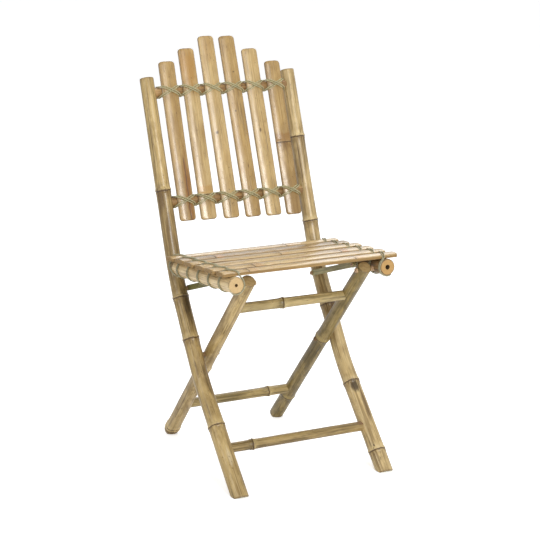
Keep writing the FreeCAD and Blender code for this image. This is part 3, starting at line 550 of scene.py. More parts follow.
SOCKET_GAP = 0.0003
RAIL_HEIGHTS = {"back_rail_top": 0.760, "back_rail_lower": 0.537}
RAIL_RADIUS = 0.01085
rail_colours = dict(pale=(206, 172, 118), mid=(176, 136, 82), dark=(110, 78, 40), stain=(146, 106, 60))
for seed, (rail, height) in enumerate(RAIL_HEIGHTS.items(), start=31):
    cross_pole(rail, POST_X - SOCKET_GAP, post_point(height), height, RAIL_RADIUS, [], (0.3,), seed,
               rail_colours, "back_frame")
STRETCHER_RADIUS = 0.01025
FRONT_STRETCHER_HEIGHT, FRONT_STRETCHER_NODE = 0.078, 0.064
stretcher_colours = dict(
    pale=(206, 182, 126), mid=(174, 146, 90), dark=(104, 84, 42), stain=(150, 124, 68), streaks=0.75,
    scar=0.9, gloss=0.35,
    smudges=[((0.002, -0.010, FRONT_STRETCHER_NODE), (0.008, 0.008, 0.006), (180, 112, 50), 0.8),
             ((0.004, -0.009, 0.170), (0.004, 0.004, 0.045), (204, 152, 84), 0.7),
             ((0.0, 0.008, 0.320), (0.012, 0.012, 0.018), (104, 66, 32), 0.8)])
cross_pole("front_stretcher", POST_X - SOCKET_GAP, post_point(FRONT_STRETCHER_HEIGHT), FRONT_STRETCHER_HEIGHT,
           STRETCHER_RADIUS, [FRONT_STRETCHER_NODE], (0.25, 0.3), 33.0, stretcher_colours, "back_frame")


# The two legs: culms from the rear feet up to the pegs under the seat. The tops are
# sawn square and left pale, the heels are sawn square and then level with the floor.
SEAT_SLOPE = math.radians(4.75)
SEAT_REAR_HEIGHT, SEAT_TO_POST, SEAT_RAIL_LENGTH = 0.413, 0.0319, 0.277
SEAT_PEG_REACH, PEG_DROP = 0.0325, 0.005
SEAT_WAY = Vector((0, math.cos(SEAT_SLOPE), -math.sin(SEAT_SLOPE)))
SEAT_UP = Vector((0, math.sin(SEAT_SLOPE), math.cos(SEAT_SLOPE)))
knee_y = POST_FOOT_Y + POST_CORNERS[0] * math.tan(POST_SLANTS[0])
waist_y = knee_y + (POST_CORNERS[1] - POST_CORNERS[0]) * math.tan(POST_SLANTS[1])
rail_rear_y = waist_y + (SEAT_REAR_HEIGHT - POST_CORNERS[1]) * math.tan(POST_LEAN) - SEAT_TO_POST
rail_front = Vector((0, rail_rear_y, SEAT_REAR_HEIGHT)) - SEAT_WAY * SEAT_RAIL_LENGTH
seat_peg = rail_front + SEAT_WAY * SEAT_PEG_REACH - SEAT_UP * PEG_DROP
LEG_X, LEG_SLANT = 0.1316, math.radians(42.68)
LEG_FOOT_RADIUS, LEG_TOP_RADIUS, HEEL_RISE, LEG_TIP = 0.0155, 0.0145, 0.008, 0.010
leg_way = Vector((0, -math.sin(LEG_SLANT), math.cos(LEG_SLANT)))
rear_foot_y = seat_peg.y + seat_peg.z * math.tan(LEG_SLANT)
leg_length = seat_peg.z / math.cos(LEG_SLANT) + LEG_TIP - HEEL_RISE
leg_end = sawn_bamboo("leg_end", 5.0, (186, 160, 112), (154, 128, 82), (88, 68, 36))
# Each: its X, the heights of its nodes, the tones between them, the seed and the skin's colours.
LEGS = {
    "leg_left": (-LEG_X, (0.016, 0.0225, 0.2055), (0.6, 0.4, 0.45, 0.35), 41.0,
                 dict(pale=(228, 204, 152), mid=(202, 174, 116), dark=(126, 100, 54), stain=(172, 144, 86))),
    "leg_right": (LEG_X, (0.072, 0.245), (0.5, 0.5, 0.35), 47.0,
                  dict(pale=(190, 168, 110), mid=(160, 136, 78), dark=(88, 74, 34), stain=(132, 112, 58))),
}


def heel(up):
    """How far past the square heel the floor's cut lies, on the leg's own lines."""
    return max(0.0, up * math.tan(LEG_SLANT) - HEEL_RISE)


for leg, (x, heights, tones, seed, colours) in LEGS.items():
    def leg_line(along, x=x):
        return Vector((x, rear_foot_y, 0)) + leg_way * (HEEL_RISE + along), leg_way, Vector((-1, 0, 0))
    skin = bamboo_skin(leg + "_skin", seed, streaks=0.5, clouds=0.75, patches=0.6, rough=0.44, **colours)
    piece = culm(leg + "_culm", leg_line, leg_length, taper(LEG_FOOT_RADIUS, LEG_TOP_RADIUS, leg_length),
                 [height / math.cos(LEG_SLANT) - HEEL_RISE for height in heights], tones, seed,
                 [skin, leg_end], foot=heel)
    finish_piece(piece, "leg_frame", leg)

# Each: its height, its node's place, the tones beside the node, the seed and the skin's colours.
STRETCHERS = {
    "leg_stretcher_upper": (
        0.362, 0.110, (0.3, 0.2), 51.0,
        dict(pale=(214, 194, 142), mid=(184, 160, 106), dark=(104, 90, 46), stain=(158, 136, 82), streaks=0.7,
             scar=0.9, gloss=0.3,
             smudges=[((0.009, -0.004, 0.098), (0.007, 0.007, 0.006), (196, 128, 58), 0.8)])),
    "leg_stretcher_rear": (
        0.089, 0.203, (0.35, 0.3), 53.0,
        dict(pale=(210, 188, 132), mid=(178, 152, 94), dark=(98, 84, 42), stain=(148, 126, 72), streaks=0.75,
             smudges=[((0.008, -0.005, 0.198), (0.008, 0.008, 0.008), (190, 124, 58), 0.7)])),
}
for stretcher, (height, node, tones, seed, colours) in STRETCHERS.items():
    cross_pole(stretcher, LEG_X - SOCKET_GAP, rear_foot_y - height * math.tan(LEG_SLANT), height,
               STRETCHER_RADIUS, [node], tones, seed, colours, "leg_frame")


# The side rails of the seat: short thick culms, sawn square and sanded in front, where
# the pith leaves a round hole. The slats are tied on them.
RAIL_X, RAIL_FRONT_RADIUS, RAIL_REAR_RADIUS = 0.171, 0.0170, 0.0168
# Each: its X, the pith hole's radius, the seed, the tone, the sawn end's four colours, the last of them the
# painted shade inside the pith hole, and the skin's.
RAILS = {
    "seat_rail_left": (
        -RAIL_X, 0.0030, 61.0, (0.08,), (216, 188, 140), (200, 168, 118), (128, 96, 54), (96, 70, 38),
        dict(pale=(250, 230, 182), mid=(234, 206, 152), dark=(150, 120, 70), stain=(210, 178, 122))),
    "seat_rail_right": (
        RAIL_X, 0.00475, 67.0, (0.35,), (202, 164, 106), (184, 144, 86), (108, 76, 38), (36, 24, 12),
        dict(pale=(196, 166, 118), mid=(166, 132, 84), dark=(100, 74, 40), stain=(140, 106, 64))),
}
for rail, (x, hole, seed, tones, pale, mid, dark, pith_shade, colours) in RAILS.items():
    def rail_line(along, x=x):
        return Vector((x, 0, 0)) + rail_front + SEAT_WAY * along, SEAT_WAY, Vector((1, 0, 0))
    skin = bamboo_skin(rail + "_skin", seed, streaks=0.6, clouds=0.5, patches=0.7, **colours)
    sawn = sawn_bamboo(rail + "_end", seed, pale, mid, dark, dots_share=0.3, mottled=0.35, pith_shade=pith_shade)
    piece = culm(rail + "_culm", rail_line, SEAT_RAIL_LENGTH,
                 taper(RAIL_FRONT_RADIUS, RAIL_REAR_RADIUS, SEAT_RAIL_LENGTH), [], tones, seed, [skin, sawn],
                 pith=(hole, hole), wander=0.00012)
    finish_piece(piece, "seat", rail)


# The slats of the back: bamboo split lengthwise, planed flat behind, with rounded
# corners and eased edges. The shiny outer skin faces the sitter's back.
SPLIT_SPECK = (108, 80, 44)


def split_face(name, seed, pale, mid, dark):
    """The split or planed side of a slat: straight pale fibres with no skin and no shine."""
    material, tree, shader = surface(name, 0.6, 0.04)
    straight = attribute(tree, "straight").outputs["Vector"]
    grain = put(tree, "ShaderNodeGroup", {"Vector": straight, "Seed": seed}, node_tree=GRAIN).outputs
    fibres = cloudy(tree, stretched(tree, straight, seed, 900, 12), 3.0, 0.7)
    colour = tint(tree, ramp(tree, fibres, 0.38, 0.62), srgb(*mid), srgb(*pale))
    colour = tint(tree, times(tree, grain["Streak"], 0.5), colour, srgb(*dark))
    colour = tint(tree, times(tree, grain["Speck"], 0.5), colour, srgb(*SPLIT_SPECK))
    feed(tree, shader, colour, ramp(tree, fibres, 0.3, 0.7, 0.52, 0.7), fibres, 0.0003)
    return material


ARRIS_WIDTH, SLAT_EASE = 0.0026, 0.0013
SLAT_REST = 0.0001
SLAT_MARGIN, SLAT_STEP, SLAT_NODE_STEP, SLAT_NODE_SPAN = 0.004, 0.008, 0.0009, 0.008


def rounded_off(radius, depth):
    """How much the arc of a corner takes off at a depth from the end."""
    return radius - math.sqrt(radius ** 2 - (radius - depth) ** 2) if depth < radius else 0.0


def slat(name, place, width, edge, crown, length, corner, nodes, tone, seed, materials, sides=30):
    """A split of bamboo. place maps (across, out, along) to the chair, with along from 0 to length."""
    half = width / 2
    radius = (half * half + crown * crown) / (2 * crown)
    loop, turned = [], []
    for number in range(sides + 1):
        across = (-1 + 2 * number / sides) * (half - SLAT_EASE)
        loop.append((across / half, edge + crown - (radius - math.sqrt(radius ** 2 - across ** 2)), True))
    for turn in (22, 45, 68, 90):
        out, down = 1 - math.sin(math.radians(turn)), 1 - math.cos(math.radians(turn))
        turned.append((1 - SLAT_EASE * out / half, edge - SLAT_EASE * down, True))
    turned.append((1.0, edge * 0.5, False))
    for turn in (0, 30, 60, 90):
        out, up = 1 - math.cos(math.radians(turn)), 1 - math.sin(math.radians(turn))
        turned.append((1 - SLAT_EASE * out / half, SLAT_EASE * up, False))
    under = [(1 - 2 * number / 8, 0.0, False) for number in range(1, 8)]
    loop += turned + under + [(-across, out, top) for across, out, top in reversed(turned)]
    rows = {SLAT_EASE * (1 - math.sin(math.radians(turn))) for turn in (0, 25, 50, 72, 90)}
    rows |= {corner * (1 - math.cos(math.radians(turn))) + SLAT_EASE for turn in (16, 32, 48, 64, 80, 90)}
    rows = sorted(rows)
    middle = steps(rows[-1] + SLAT_MARGIN, length - rows[-1] - SLAT_MARGIN, SLAT_STEP, nodes, SLAT_NODE_STEP,
                   SLAT_NODE_SPAN)
    rows = rows + middle + [length - row for row in reversed(rows)]
    points, straight, gaps, edges = [], [], [], []
    for along in rows:
        to_end = min(along, length - along)
        narrow, thin = rounded_off(corner, to_end), rounded_off(SLAT_EASE, to_end)
        gap = node_gap(along, nodes)
        ridge = 0.0006 * math.exp(-(gap / 0.0026) ** 2)
        ridge -= 0.0004 * math.exp(-((gap + NODE_GROOVE) / 0.0010) ** 2)
        waver = 0.0004 * noise.noise(Vector((seed, along * 9, 0.0)))
        for share, lift, top in loop:
            across = share * (half - narrow)
            if top:
                lift += ridge + 0.00014 * noise.noise(Vector((across * 160, along * 12, seed)))
            if thin:
                lift = min(max(lift, thin), edge + crown - thin)
            points.append(place(across + waver, lift, along))
            straight.append((across, lift, along))
            gaps.append(gap)
            to_rim = min(half - narrow - abs(across), to_end)
            edges.append(max(0.0, 1 - to_rim / ARRIS_WIDTH) if top else 0.0)
    tops = [top for _, _, top in loop]
    kinds = [0 if top and after else 1 for top, after in zip(tops, tops[1:] + tops[:1])] * (len(rows) - 1)
    return solid_mesh(name, points, tube_faces(len(rows), len(loop)), kinds + [1, 1],
                      skin_marks(straight, gaps, [tone] * len(points), edges), materials)


BACK_SLAT_WIDTH, BACK_SLAT_EDGE, BACK_SLAT_CROWN, BACK_SLAT_CORNER = 0.037, 0.0038, 0.0042, 0.007
BACK_SLAT_SEAT = RAIL_RADIUS + SLAT_REST
BACK_FOOT_LEFT, BACK_FOOT_RIGHT = 0.4955, 0.4871
back_out = Vector((0, -math.cos(POST_LEAN), math.sin(POST_LEAN)))
back_way = Vector((0, math.sin(POST_LEAN), math.cos(POST_LEAN)))
GOLD = dict(pale=(218, 196, 146), mid=(196, 166, 110), dark=(140, 108, 56), stain=(178, 144, 86))
AMBER = dict(pale=(208, 180, 126), mid=(182, 149, 90), dark=(126, 94, 46), stain=(162, 127, 69))
TAN_BAND, RUST_BAND = (178, 140, 78), (146, 108, 56)


def slat_stain(across, along, wide, long, colour, share):
    """A stain on a slat's skin, around a place across and along it."""
    return (across, 0.006, along), (wide, 0.02, long), colour, share


# Each: its middle's X at the top and at the foot, its top, its nodes, its tone, its colours and the rest.
BACK_SLATS = [
    (-0.1235, -0.1270, 0.8195, (), 0.25, AMBER,
     dict(splits=[(0.0065, -0.01, 0.135, 0.0020)],
          smudges=[slat_stain(0.009, 0.060, 0.010, 0.100, (138, 90, 38), 0.8)])),
    (-0.0742, -0.0783, 0.8439, (0.0555,), 0.25, GOLD,
     dict(band=0.75, orange=TAN_BAND,
          smudges=[((0.0, 0.006, 0.330), (0.026, 0.03, 0.060), (170, 128, 64), 0.85)])),
    (-0.0240, -0.0250, 0.8674, (), 0.15, GOLD,
     dict(splits=[(-0.004, 0.0, 0.055, 0.0007)],
          smudges=[slat_stain(0.0, 0.372, 0.018, 0.040, (168, 132, 78), 0.5),
                   slat_stain(-0.008, 0.186, 0.005, 0.006, (86, 62, 32), 0.9)])),
    (0.0255, 0.0265, 0.8655, (), 0.2, AMBER,
     dict(smudges=[slat_stain(0.002, 0.318, 0.0016, 0.0022, (70, 50, 26), 0.9),
                   slat_stain(-0.006, 0.232, 0.0020, 0.0030, (84, 60, 30), 0.9),
                   slat_stain(0.004, 0.110, 0.0016, 0.0080, (100, 72, 38), 0.8)])),
    (0.0752, 0.0758, 0.8368, (), 0.15, GOLD,
     dict(splits=[(0.0075, 0.14, 0.185, 0.0008)],
          smudges=[slat_stain(-0.004, 0.188, 0.003, 0.006, (90, 64, 32), 0.9)])),
    (0.1262, 0.1245, 0.8085, (0.162,), 0.3, AMBER, dict(band=0.8, orange=RUST_BAND, scar=0.9)),
]
slat_back = split_face("back_slat_split_side", 71.0, (210, 184, 134), (180, 148, 96), (128, 98, 56))
slat_middles = []
for number, (top_x, foot_x, top, nodes, tone, colours, extras) in enumerate(BACK_SLATS, start=1):
    foot = BACK_FOOT_LEFT + (BACK_FOOT_RIGHT - BACK_FOOT_LEFT) * (number - 1) / (len(BACK_SLATS) - 1)
    length = (top - foot) / math.cos(POST_LEAN)
    start = Vector((0, post_point(foot), foot)) + back_out * BACK_SLAT_SEAT
    slat_middles.append(lambda height, foot=foot, top=top, low=foot_x, high=top_x:
                        low + (high - low) * (height - foot) / (top - foot))

    def back_place(across, out, along, start=start, low=foot_x, high=top_x, length=length):
        x = low + (high - low) * along / length + across
        return start + Vector((x, 0, 0)) + back_out * out + back_way * along

    skin = bamboo_skin(f"back_slat_{number}_skin", 73.0 + 3 * number, streaks=0.28, clouds=0.5, veins=0.4,
                       gloss=0.7, rough=0.32, arris=0.8, **colours, **extras)
    piece = slat(f"back_slat_{number}_split", back_place, BACK_SLAT_WIDTH, BACK_SLAT_EDGE, BACK_SLAT_CROWN,
                 length, BACK_SLAT_CORNER, list(nodes), tone, 73.0 + number, [skin, slat_back])
    finish_piece(piece, "back_frame", f"back_slat_{number}")


# The slats of the seat: wider splits of bamboo laid across the rails, outer skin up, each
# leaning back a little. Their ends are sawn a little unevenly. Orange bands show where the
# nodes were planed.
SEAT_SLAT_LENGTH, END_SLAT_WIDTH, SEAT_SLAT_GAP = 0.398, 0.036, 0.005
SEAT_SLAT_EDGE, SEAT_SLAT_CROWN, SEAT_SLAT_CORNER = 0.0068, 0.0027, 0.005
SEAT_SLAT_LEANS = [math.radians(lean) for lean in (0.8, 2.4, 1.7, 2.7, 2.0, 2.3)]
SEAT_MARGIN, SEAT_OVERHANG = 0.005, 0.009
SEAT_SLAT_WIDTH = (SEAT_RAIL_LENGTH + SEAT_OVERHANG - SEAT_MARGIN - 2 * END_SLAT_WIDTH - 5 * SEAT_SLAT_GAP) / 4
SEAT_SLAT_SEAT = RAIL_FRONT_RADIUS + SLAT_REST
STRAW = dict(pale=(242, 220, 172), mid=(222, 192, 136), dark=(150, 112, 60), stain=(198, 162, 102))
PLANED_NODE = (190, 132, 60)
# Each: how much its left and right ends are short, its nodes, its tone, colours and the rest.
SEAT_SLATS = [
    (0.0030, 0.0000, (0.060, 0.300), 0.3, STRAW,
     dict(band=0.4, smudges=[slat_stain(0.0, 0.215, 0.012, 0.040, (176, 136, 82), 0.5)])),
    (0.0000, 0.0035, (0.095,), 0.2, STRAW, dict(band=0.5, splits=[(0.006, 0.16, 0.42, 0.0009)])),
    (0.0025, 0.0020, (0.318,), 0.25, STRAW, dict(band=0.9)),
    (0.0010, 0.0010, (0.206,), 0.1, STRAW, dict(band=0.3, splits=[(-0.009, -0.01, 0.20, 0.0008)])),
    (0.0030, 0.0025, (0.078,), 0.3, AMBER, dict(band=0.9)),
    (0.0015, 0.0005, (0.270,), 0.25, STRAW, dict(band=0.4)),
]
# The seat slats' split sides are darker than the back slats': painted shade on their fronts and undersides,
# which darkens the gaps between the slats.
shaded_seat_split = split_face("seat_slat_split_side", 91.0, (172, 140, 88), (136, 104, 56), (92, 66, 32))
reach = SEAT_MARGIN
seat_gaps = [SEAT_MARGIN - SEAT_SLAT_GAP / 2]
for number, (short_left, short_right, nodes, tone, colours, extras) in enumerate(SEAT_SLATS, start=1):
    width = END_SLAT_WIDTH if number in (1, len(SEAT_SLATS)) else SEAT_SLAT_WIDTH
    middle = reach + width / 2
    reach += width + SEAT_SLAT_GAP
    seat_gaps.append(reach - SEAT_SLAT_GAP / 2)
    length = SEAT_SLAT_LENGTH - short_left - short_right

    def seat_place(across, out, along, middle=middle, left=short_left, half=width / 2,
                   lean=SEAT_SLAT_LEANS[number - 1]):
        lift = (half - across) * math.tan(lean)
        return (rail_front + Vector((left - SEAT_SLAT_LENGTH / 2 + along, 0, 0)) + SEAT_WAY * (middle + across)
                + SEAT_UP * (SEAT_SLAT_SEAT + out + lift))

    skin = bamboo_skin(f"seat_slat_{number}_skin", 97.0 + 3 * number, streaks=0.4, clouds=0.4, gloss=0.8,
                       rough=0.30, orange=PLANED_NODE, arris=0.45, **colours, **extras)
    piece = slat(f"seat_slat_{number}_split", seat_place, width, SEAT_SLAT_EDGE, SEAT_SLAT_CROWN, length,
                 SEAT_SLAT_CORNER, list(nodes), tone, 97.0 + number, [skin, shaded_seat_split], sides=36)
    finish_piece(piece, "seat", f"seat_slat_{number}")


# The link bars: flat laths of green bamboo with round ends. They turn on a peg in the
# post and a peg in the seat rail, and swing the seat up as the chair folds.
LINK_SIDE_GAP, LINK_THICK, LINK_WIDTH, LINK_PEG_SPACING = 0.001, 0.0036, 0.012, 0.07136
LINK_PEG_HEIGHT, LINK_PEG_AHEAD = 0.366, 0.007
LATH_EASE, LATH_STEPS, LATH_TURNS = 0.0007, 26, 14
post_taper = (POST_FOOT_RADIUS - POST_TOP_RADIUS) * LINK_PEG_HEIGHT / POST_CORNERS[2]
POST_INNER_X = POST_X - POST_FOOT_RADIUS + post_taper
LINK_OUTER_X = POST_INNER_X - LINK_SIDE_GAP
LINK_INNER_X = LINK_OUTER_X - LINK_THICK
post_peg = Vector((0, knee_y + (LINK_PEG_HEIGHT - POST_CORNERS[0]) * math.tan(POST_SLANTS[1]) - LINK_PEG_AHEAD,
                   LINK_PEG_HEIGHT))
rail_peg = seat_peg + SEAT_WAY * LINK_PEG_SPACING


def lath(name, start, end, near, far, width, materials):
    """A flat bar with round ends from start to end, between two places in X, its long edges eased."""
    way = (end - start).normalized()
    up = Vector((1, 0, 0)).cross(way)
    half, length = width / 2, (end - start).length
    low, high = min(near, far), max(near, far)
    levels = [(low, (half - LATH_EASE) * share) for share in (0.25, 0.6, 1.0)]
    for turn in (30, 60, 90):
        angle = math.radians(turn)
        levels.append((low + LATH_EASE * (1 - math.cos(angle)), half - LATH_EASE * (1 - math.sin(angle))))
    levels += [(low + high - x, size) for x, size in reversed(levels)]
    points, straight, edges = [], [], []
    for x, size in levels:
        side = [(length * number / LATH_STEPS, -size) for number in range(LATH_STEPS)]
        for number in range(LATH_TURNS + 1):
            turn = math.radians(180 * number / LATH_TURNS - 90)
            side.append((length + math.cos(turn) * size, math.sin(turn) * size))
        ring = side + [(length - along, -rise) for along, rise in side[1:]]
        for along, rise in ring:
            points.append(start + Vector((x, 0, 0)) + way * along + up * rise)
            straight.append((rise, x, along))
            edges.append(1.0 if size > half - LATH_EASE * 1.01 and low < x < high else 0.0)
    faces = tube_faces(len(levels), len(points) // len(levels))
    marks = {"straight": straight, "tone": [0.2] * len(points), "edge": edges}
    return solid_mesh(name, points, faces, [0] * len(faces), marks, materials)


# Each: its side, the skin's pale, middle and dark colour, and the seed.
LINKS = {"link_left": (-1, (150, 146, 92), (124, 120, 68), (72, 68, 32), 121.0),
         # The right link's colours are much lighter than the left's: painted light, against the shade it sits
         # in under the seat.
         "link_right": (1, (212, 204, 150), (178, 170, 114), (108, 100, 54), 127.0)}
for link, (side, pale, mid, dark, seed) in LINKS.items():
    skin = bamboo_skin(link + "_skin", seed, pale, mid, dark, dark, streaks=0.6, clouds=0.3, rough=0.5,
                       gloss=0.15, arris=0.3)
    piece = lath(link + "_lath", post_peg, rail_peg, side * LINK_INNER_X, side * LINK_OUTER_X, LINK_WIDTH,
                 [skin])
    finish_piece(piece, "links", link)


# The pegs: turned dowels of bamboo. One at each crossing, one at the top of each leg,
# and one at each end of the links. Their ends stand a little proud and show the pith.
PEG_PROUD, PEG_DEPTH, PEG_SPLIT = 0.0034, 0.022, 0.0004
leg_inner_x = LEG_X - LEG_TOP_RADIUS
rail_inner_x = RAIL_X - RAIL_FRONT_RADIUS
cross_height = ((rear_foot_y - knee_y + POST_CORNERS[0] * math.tan(POST_SLANTS[1]))
                / (math.tan(LEG_SLANT) + math.tan(POST_SLANTS[1])))
cross_point = Vector((0, rear_foot_y - cross_height * math.tan(LEG_SLANT), cross_height))
# The cross pegs are a darker brown than the other pegs: partly painted shade, where they sit at the crossing
# behind the posts.
cross_skin_and_shade = bamboo_skin("cross_peg_skin", 131.0, (150, 118, 74), (118, 88, 50), (74, 52, 28), (96, 70, 38),
                         streaks=0.5, rough=0.55, gloss=0.05)
cross_end_and_shade = sawn_bamboo("cross_peg_end", 135.0, (150, 118, 76), (120, 90, 54), (66, 46, 24))
peg_skin = bamboo_skin("peg_skin", 133.0, (224, 196, 160), (194, 160, 120), (126, 94, 62), (170, 134, 94),
                       streaks=0.4, rough=0.5, gloss=0.08)
peg_end = sawn_bamboo("peg_end", 137.0, (238, 208, 178), (222, 186, 152), (92, 60, 40), mottled=0.3)
PEG_PITH = 0.0015
# Each: its body, its place, its radius, and where it starts and ends from the chair's middle.
PEGS = {
    "cross_peg": ("back_frame", cross_point, 0.005, leg_inner_x - PEG_PROUD, POST_INNER_X + PEG_DEPTH),
    "link_peg": ("back_frame", post_peg, 0.004, LINK_INNER_X - PEG_PROUD, POST_INNER_X + PEG_DEPTH),
    "seat_peg": ("leg_frame", seat_peg, 0.005, leg_inner_x - PEG_PROUD, LINK_OUTER_X - PEG_SPLIT / 2),
    "rail_link_peg": ("seat", rail_peg, 0.004, LINK_INNER_X - PEG_PROUD, rail_inner_x + PEG_DEPTH),
    "rail_seat_peg": ("seat", seat_peg, 0.005, LINK_OUTER_X + PEG_SPLIT / 2, rail_inner_x + PEG_DEPTH),
}
for number, (peg, (body, place, radius, near, far)) in enumerate(PEGS.items()):
    for side_name, side in (("left", -1), ("right", 1)):
        def peg_line(along, side=side, near=near, place=place):
            return place + Vector((side * (near + along), 0, 0)), Vector((side, 0, 0)), Vector((0, 1, 0))
        materials = [cross_skin_and_shade, cross_end_and_shade] if peg == "cross_peg" else [peg_skin, peg_end]
        piece = culm(f"{peg}_{side_name}_dowel", peg_line, far - near, taper(radius, radius, far - near), [],
                     (0.1,), 139.0 + number * 2 + side, materials, sides=28, rim=0.0006, pith=(PEG_PITH, None),
                     wander=0.0)
        finish_piece(piece, body, f"{peg}_{side_name}")


# The lashings: two strands of grey-green twine side by side. On the back they go out
# in one slant over the slats and come back in the other, so each slat has a cross.
# On the seat they go round the rail between the slats and slant over each slat.
def twine_fibre(name, seed, pale, mid, dark):
    """Two-ply twine: fibres in pale and mid tones, worn pale patches, and painted shade in the furrows between
    the plies.
    """
    material, tree, shader = surface(name, 0.78, 0.0)
    lay = attribute(tree, "straight").outputs["Vector"]
    ply = attribute(tree, "edge").outputs["Fac"]
    fuzz = cloudy(tree, stretched(tree, lay, seed, 1400, 500), 3.0, 0.6)
    worn = cloudy(tree, stretched(tree, lay, seed, 90, 30), 2.0)
    colour = tint(tree, ramp(tree, fuzz, 0.35, 0.65), srgb(*mid), srgb(*pale))
    # Painted shade in the furrows between the plies.
    colour = tint(tree, ramp(tree, ply, 0.0, 0.55, 0.75, 0.0), colour, srgb(*dark))
    colour = tint(tree, ramp(tree, worn, 0.45, 0.7, 0.0, 0.5), colour, srgb(*pale))
    feed(tree, shader, colour, ramp(tree, fuzz, 0.3, 0.7, 0.7, 0.88), fuzz, 0.0003, 0.8)
    return material


TWINE_STEP, ROUTE_PARTS = 0.0009, 12


def smooth_route(points):
    """Even points on a curve through the given ones, leaving each along the circle through its neighbours."""
    chords = [after - before for before, after in zip(points, points[1:])]
    inner = [p.normalized() * q.length + q.normalized() * p.length for p, q in zip(chords, chords[1:])]
    inner = [way.normalized() for way in inner]
    first, last = chords[0].normalized(), chords[-1].normalized()
    ways = [first * (2 * first.dot(inner[0])) - inner[0], *inner,
            last * (2 * last.dot(inner[-1])) - inner[-1]]
    fine = []
    for start, end, way, end_way in zip(points, points[1:], ways, ways[1:]):
        reach = (end - start).length
        for number in range(ROUTE_PARTS):
            t = number / ROUTE_PARTS
            fine.append(start * (2 * t ** 3 - 3 * t ** 2 + 1) + way * reach * (t ** 3 - 2 * t ** 2 + t)
                        + end * (3 * t ** 2 - 2 * t ** 3) + end_way * reach * (t ** 3 - t ** 2))
    fine.append(points[-1])
    line = numpy.array([tuple(p) for p in fine])
    lengths = numpy.concatenate([[0], numpy.cumsum(numpy.linalg.norm(numpy.diff(line, axis=0), axis=1))])
    even = numpy.arange(0, lengths[-1], TWINE_STEP)
    return numpy.stack([numpy.interp(even, lengths, line[:, axis]) for axis in range(3)], 1)


STRAND_RADIUS, STRAND_GAP, STRAND_SIDES, PLY_TURN = 0.00116, 1.75, 12, 0.0072
STRAND_DRIFT, OFF_SMOOTHINGS = 0.22, 4


def strands(node, route_points, rail_axis, place, material, body, seed):
    """Two strands side by side on a route in its own frame. rail_axis is that frame's axis along the rail,
    and place carries the frame to the chair."""
    route = smooth_route(route_points)
    outward = route.copy()
    outward[:, rail_axis] = 0
    ways = numpy.gradient(route, axis=0)
    ways /= numpy.linalg.norm(ways, axis=1)[:, None]
    off = outward - (outward * ways).sum(1)[:, None] * ways
    for _ in range(OFF_SMOOTHINGS):
        off[1:-1] = (off[:-2] + 2 * off[1:-1] + off[2:]) / 4
    off -= (off * ways).sum(1)[:, None] * ways
    off /= numpy.linalg.norm(off, axis=1)[:, None]
    beside = numpy.cross(ways, off)
    walked = numpy.concatenate([[0], numpy.cumsum(numpy.linalg.norm(numpy.diff(route, axis=0), axis=1))])
    turns = numpy.arange(STRAND_SIDES) * math.tau / STRAND_SIDES
    points, straight, plies, faces = [], [], [], []
    matrix = numpy.array(place)
    for strand, side in enumerate((-1, 1)):
        base = len(points)
        drift = numpy.array([noise.noise(Vector((seed + strand * 7, along * 60, 0))) for along in walked])
        spread = STRAND_RADIUS * (STRAND_GAP + STRAND_DRIFT * drift)
        centre = route + beside * (side * spread)[:, None] + off * (0.0002 * drift * side)[:, None]
        twist = walked / PLY_TURN * math.tau + strand * 1.3
        for row in range(len(route)):
            # The first and the last rows narrow to a tip.
            fade = min(1.0, (row + 0.3) / 2, (len(route) - row - 0.7) / 2)
            ridge = numpy.abs(numpy.cos(turns - twist[row]))
            size = STRAND_RADIUS * (0.84 + 0.18 * ridge) * (0.25 + 0.75 * fade)
            ring = (centre[row] + numpy.outer(numpy.cos(turns) * size, off[row])
                    + numpy.outer(numpy.sin(turns) * size, beside[row]))
            points.extend(ring @ matrix[:3, :3].T + matrix[:3, 3])
            straight.extend((math.cos(t - twist[row]) * 0.001, math.sin(t - twist[row]) * 0.001, walked[row])
                            for t in turns)
            plies.extend(ridge)
        faces += tube_faces(len(route), STRAND_SIDES, base)
    marks = {"straight": straight, "edge": plies}
    piece = solid_mesh(node + "_twine", points, faces, [0] * len(faces), marks, [material])
    finish_piece(piece, body, node)


def own_frame(out, way, origin):
    """The matrix that carries a lashing's own frame, out and along a way from its origin, to the chair."""
    matrix = Matrix.Identity(4)
    matrix.col[1][:3], matrix.col[2][:3], matrix.col[3][:3] = out, way, origin
    return matrix


TWINE_STAND, TWINE_CROSS, TWINE_PRESS = 0.0013, 0.0025, 0.0006


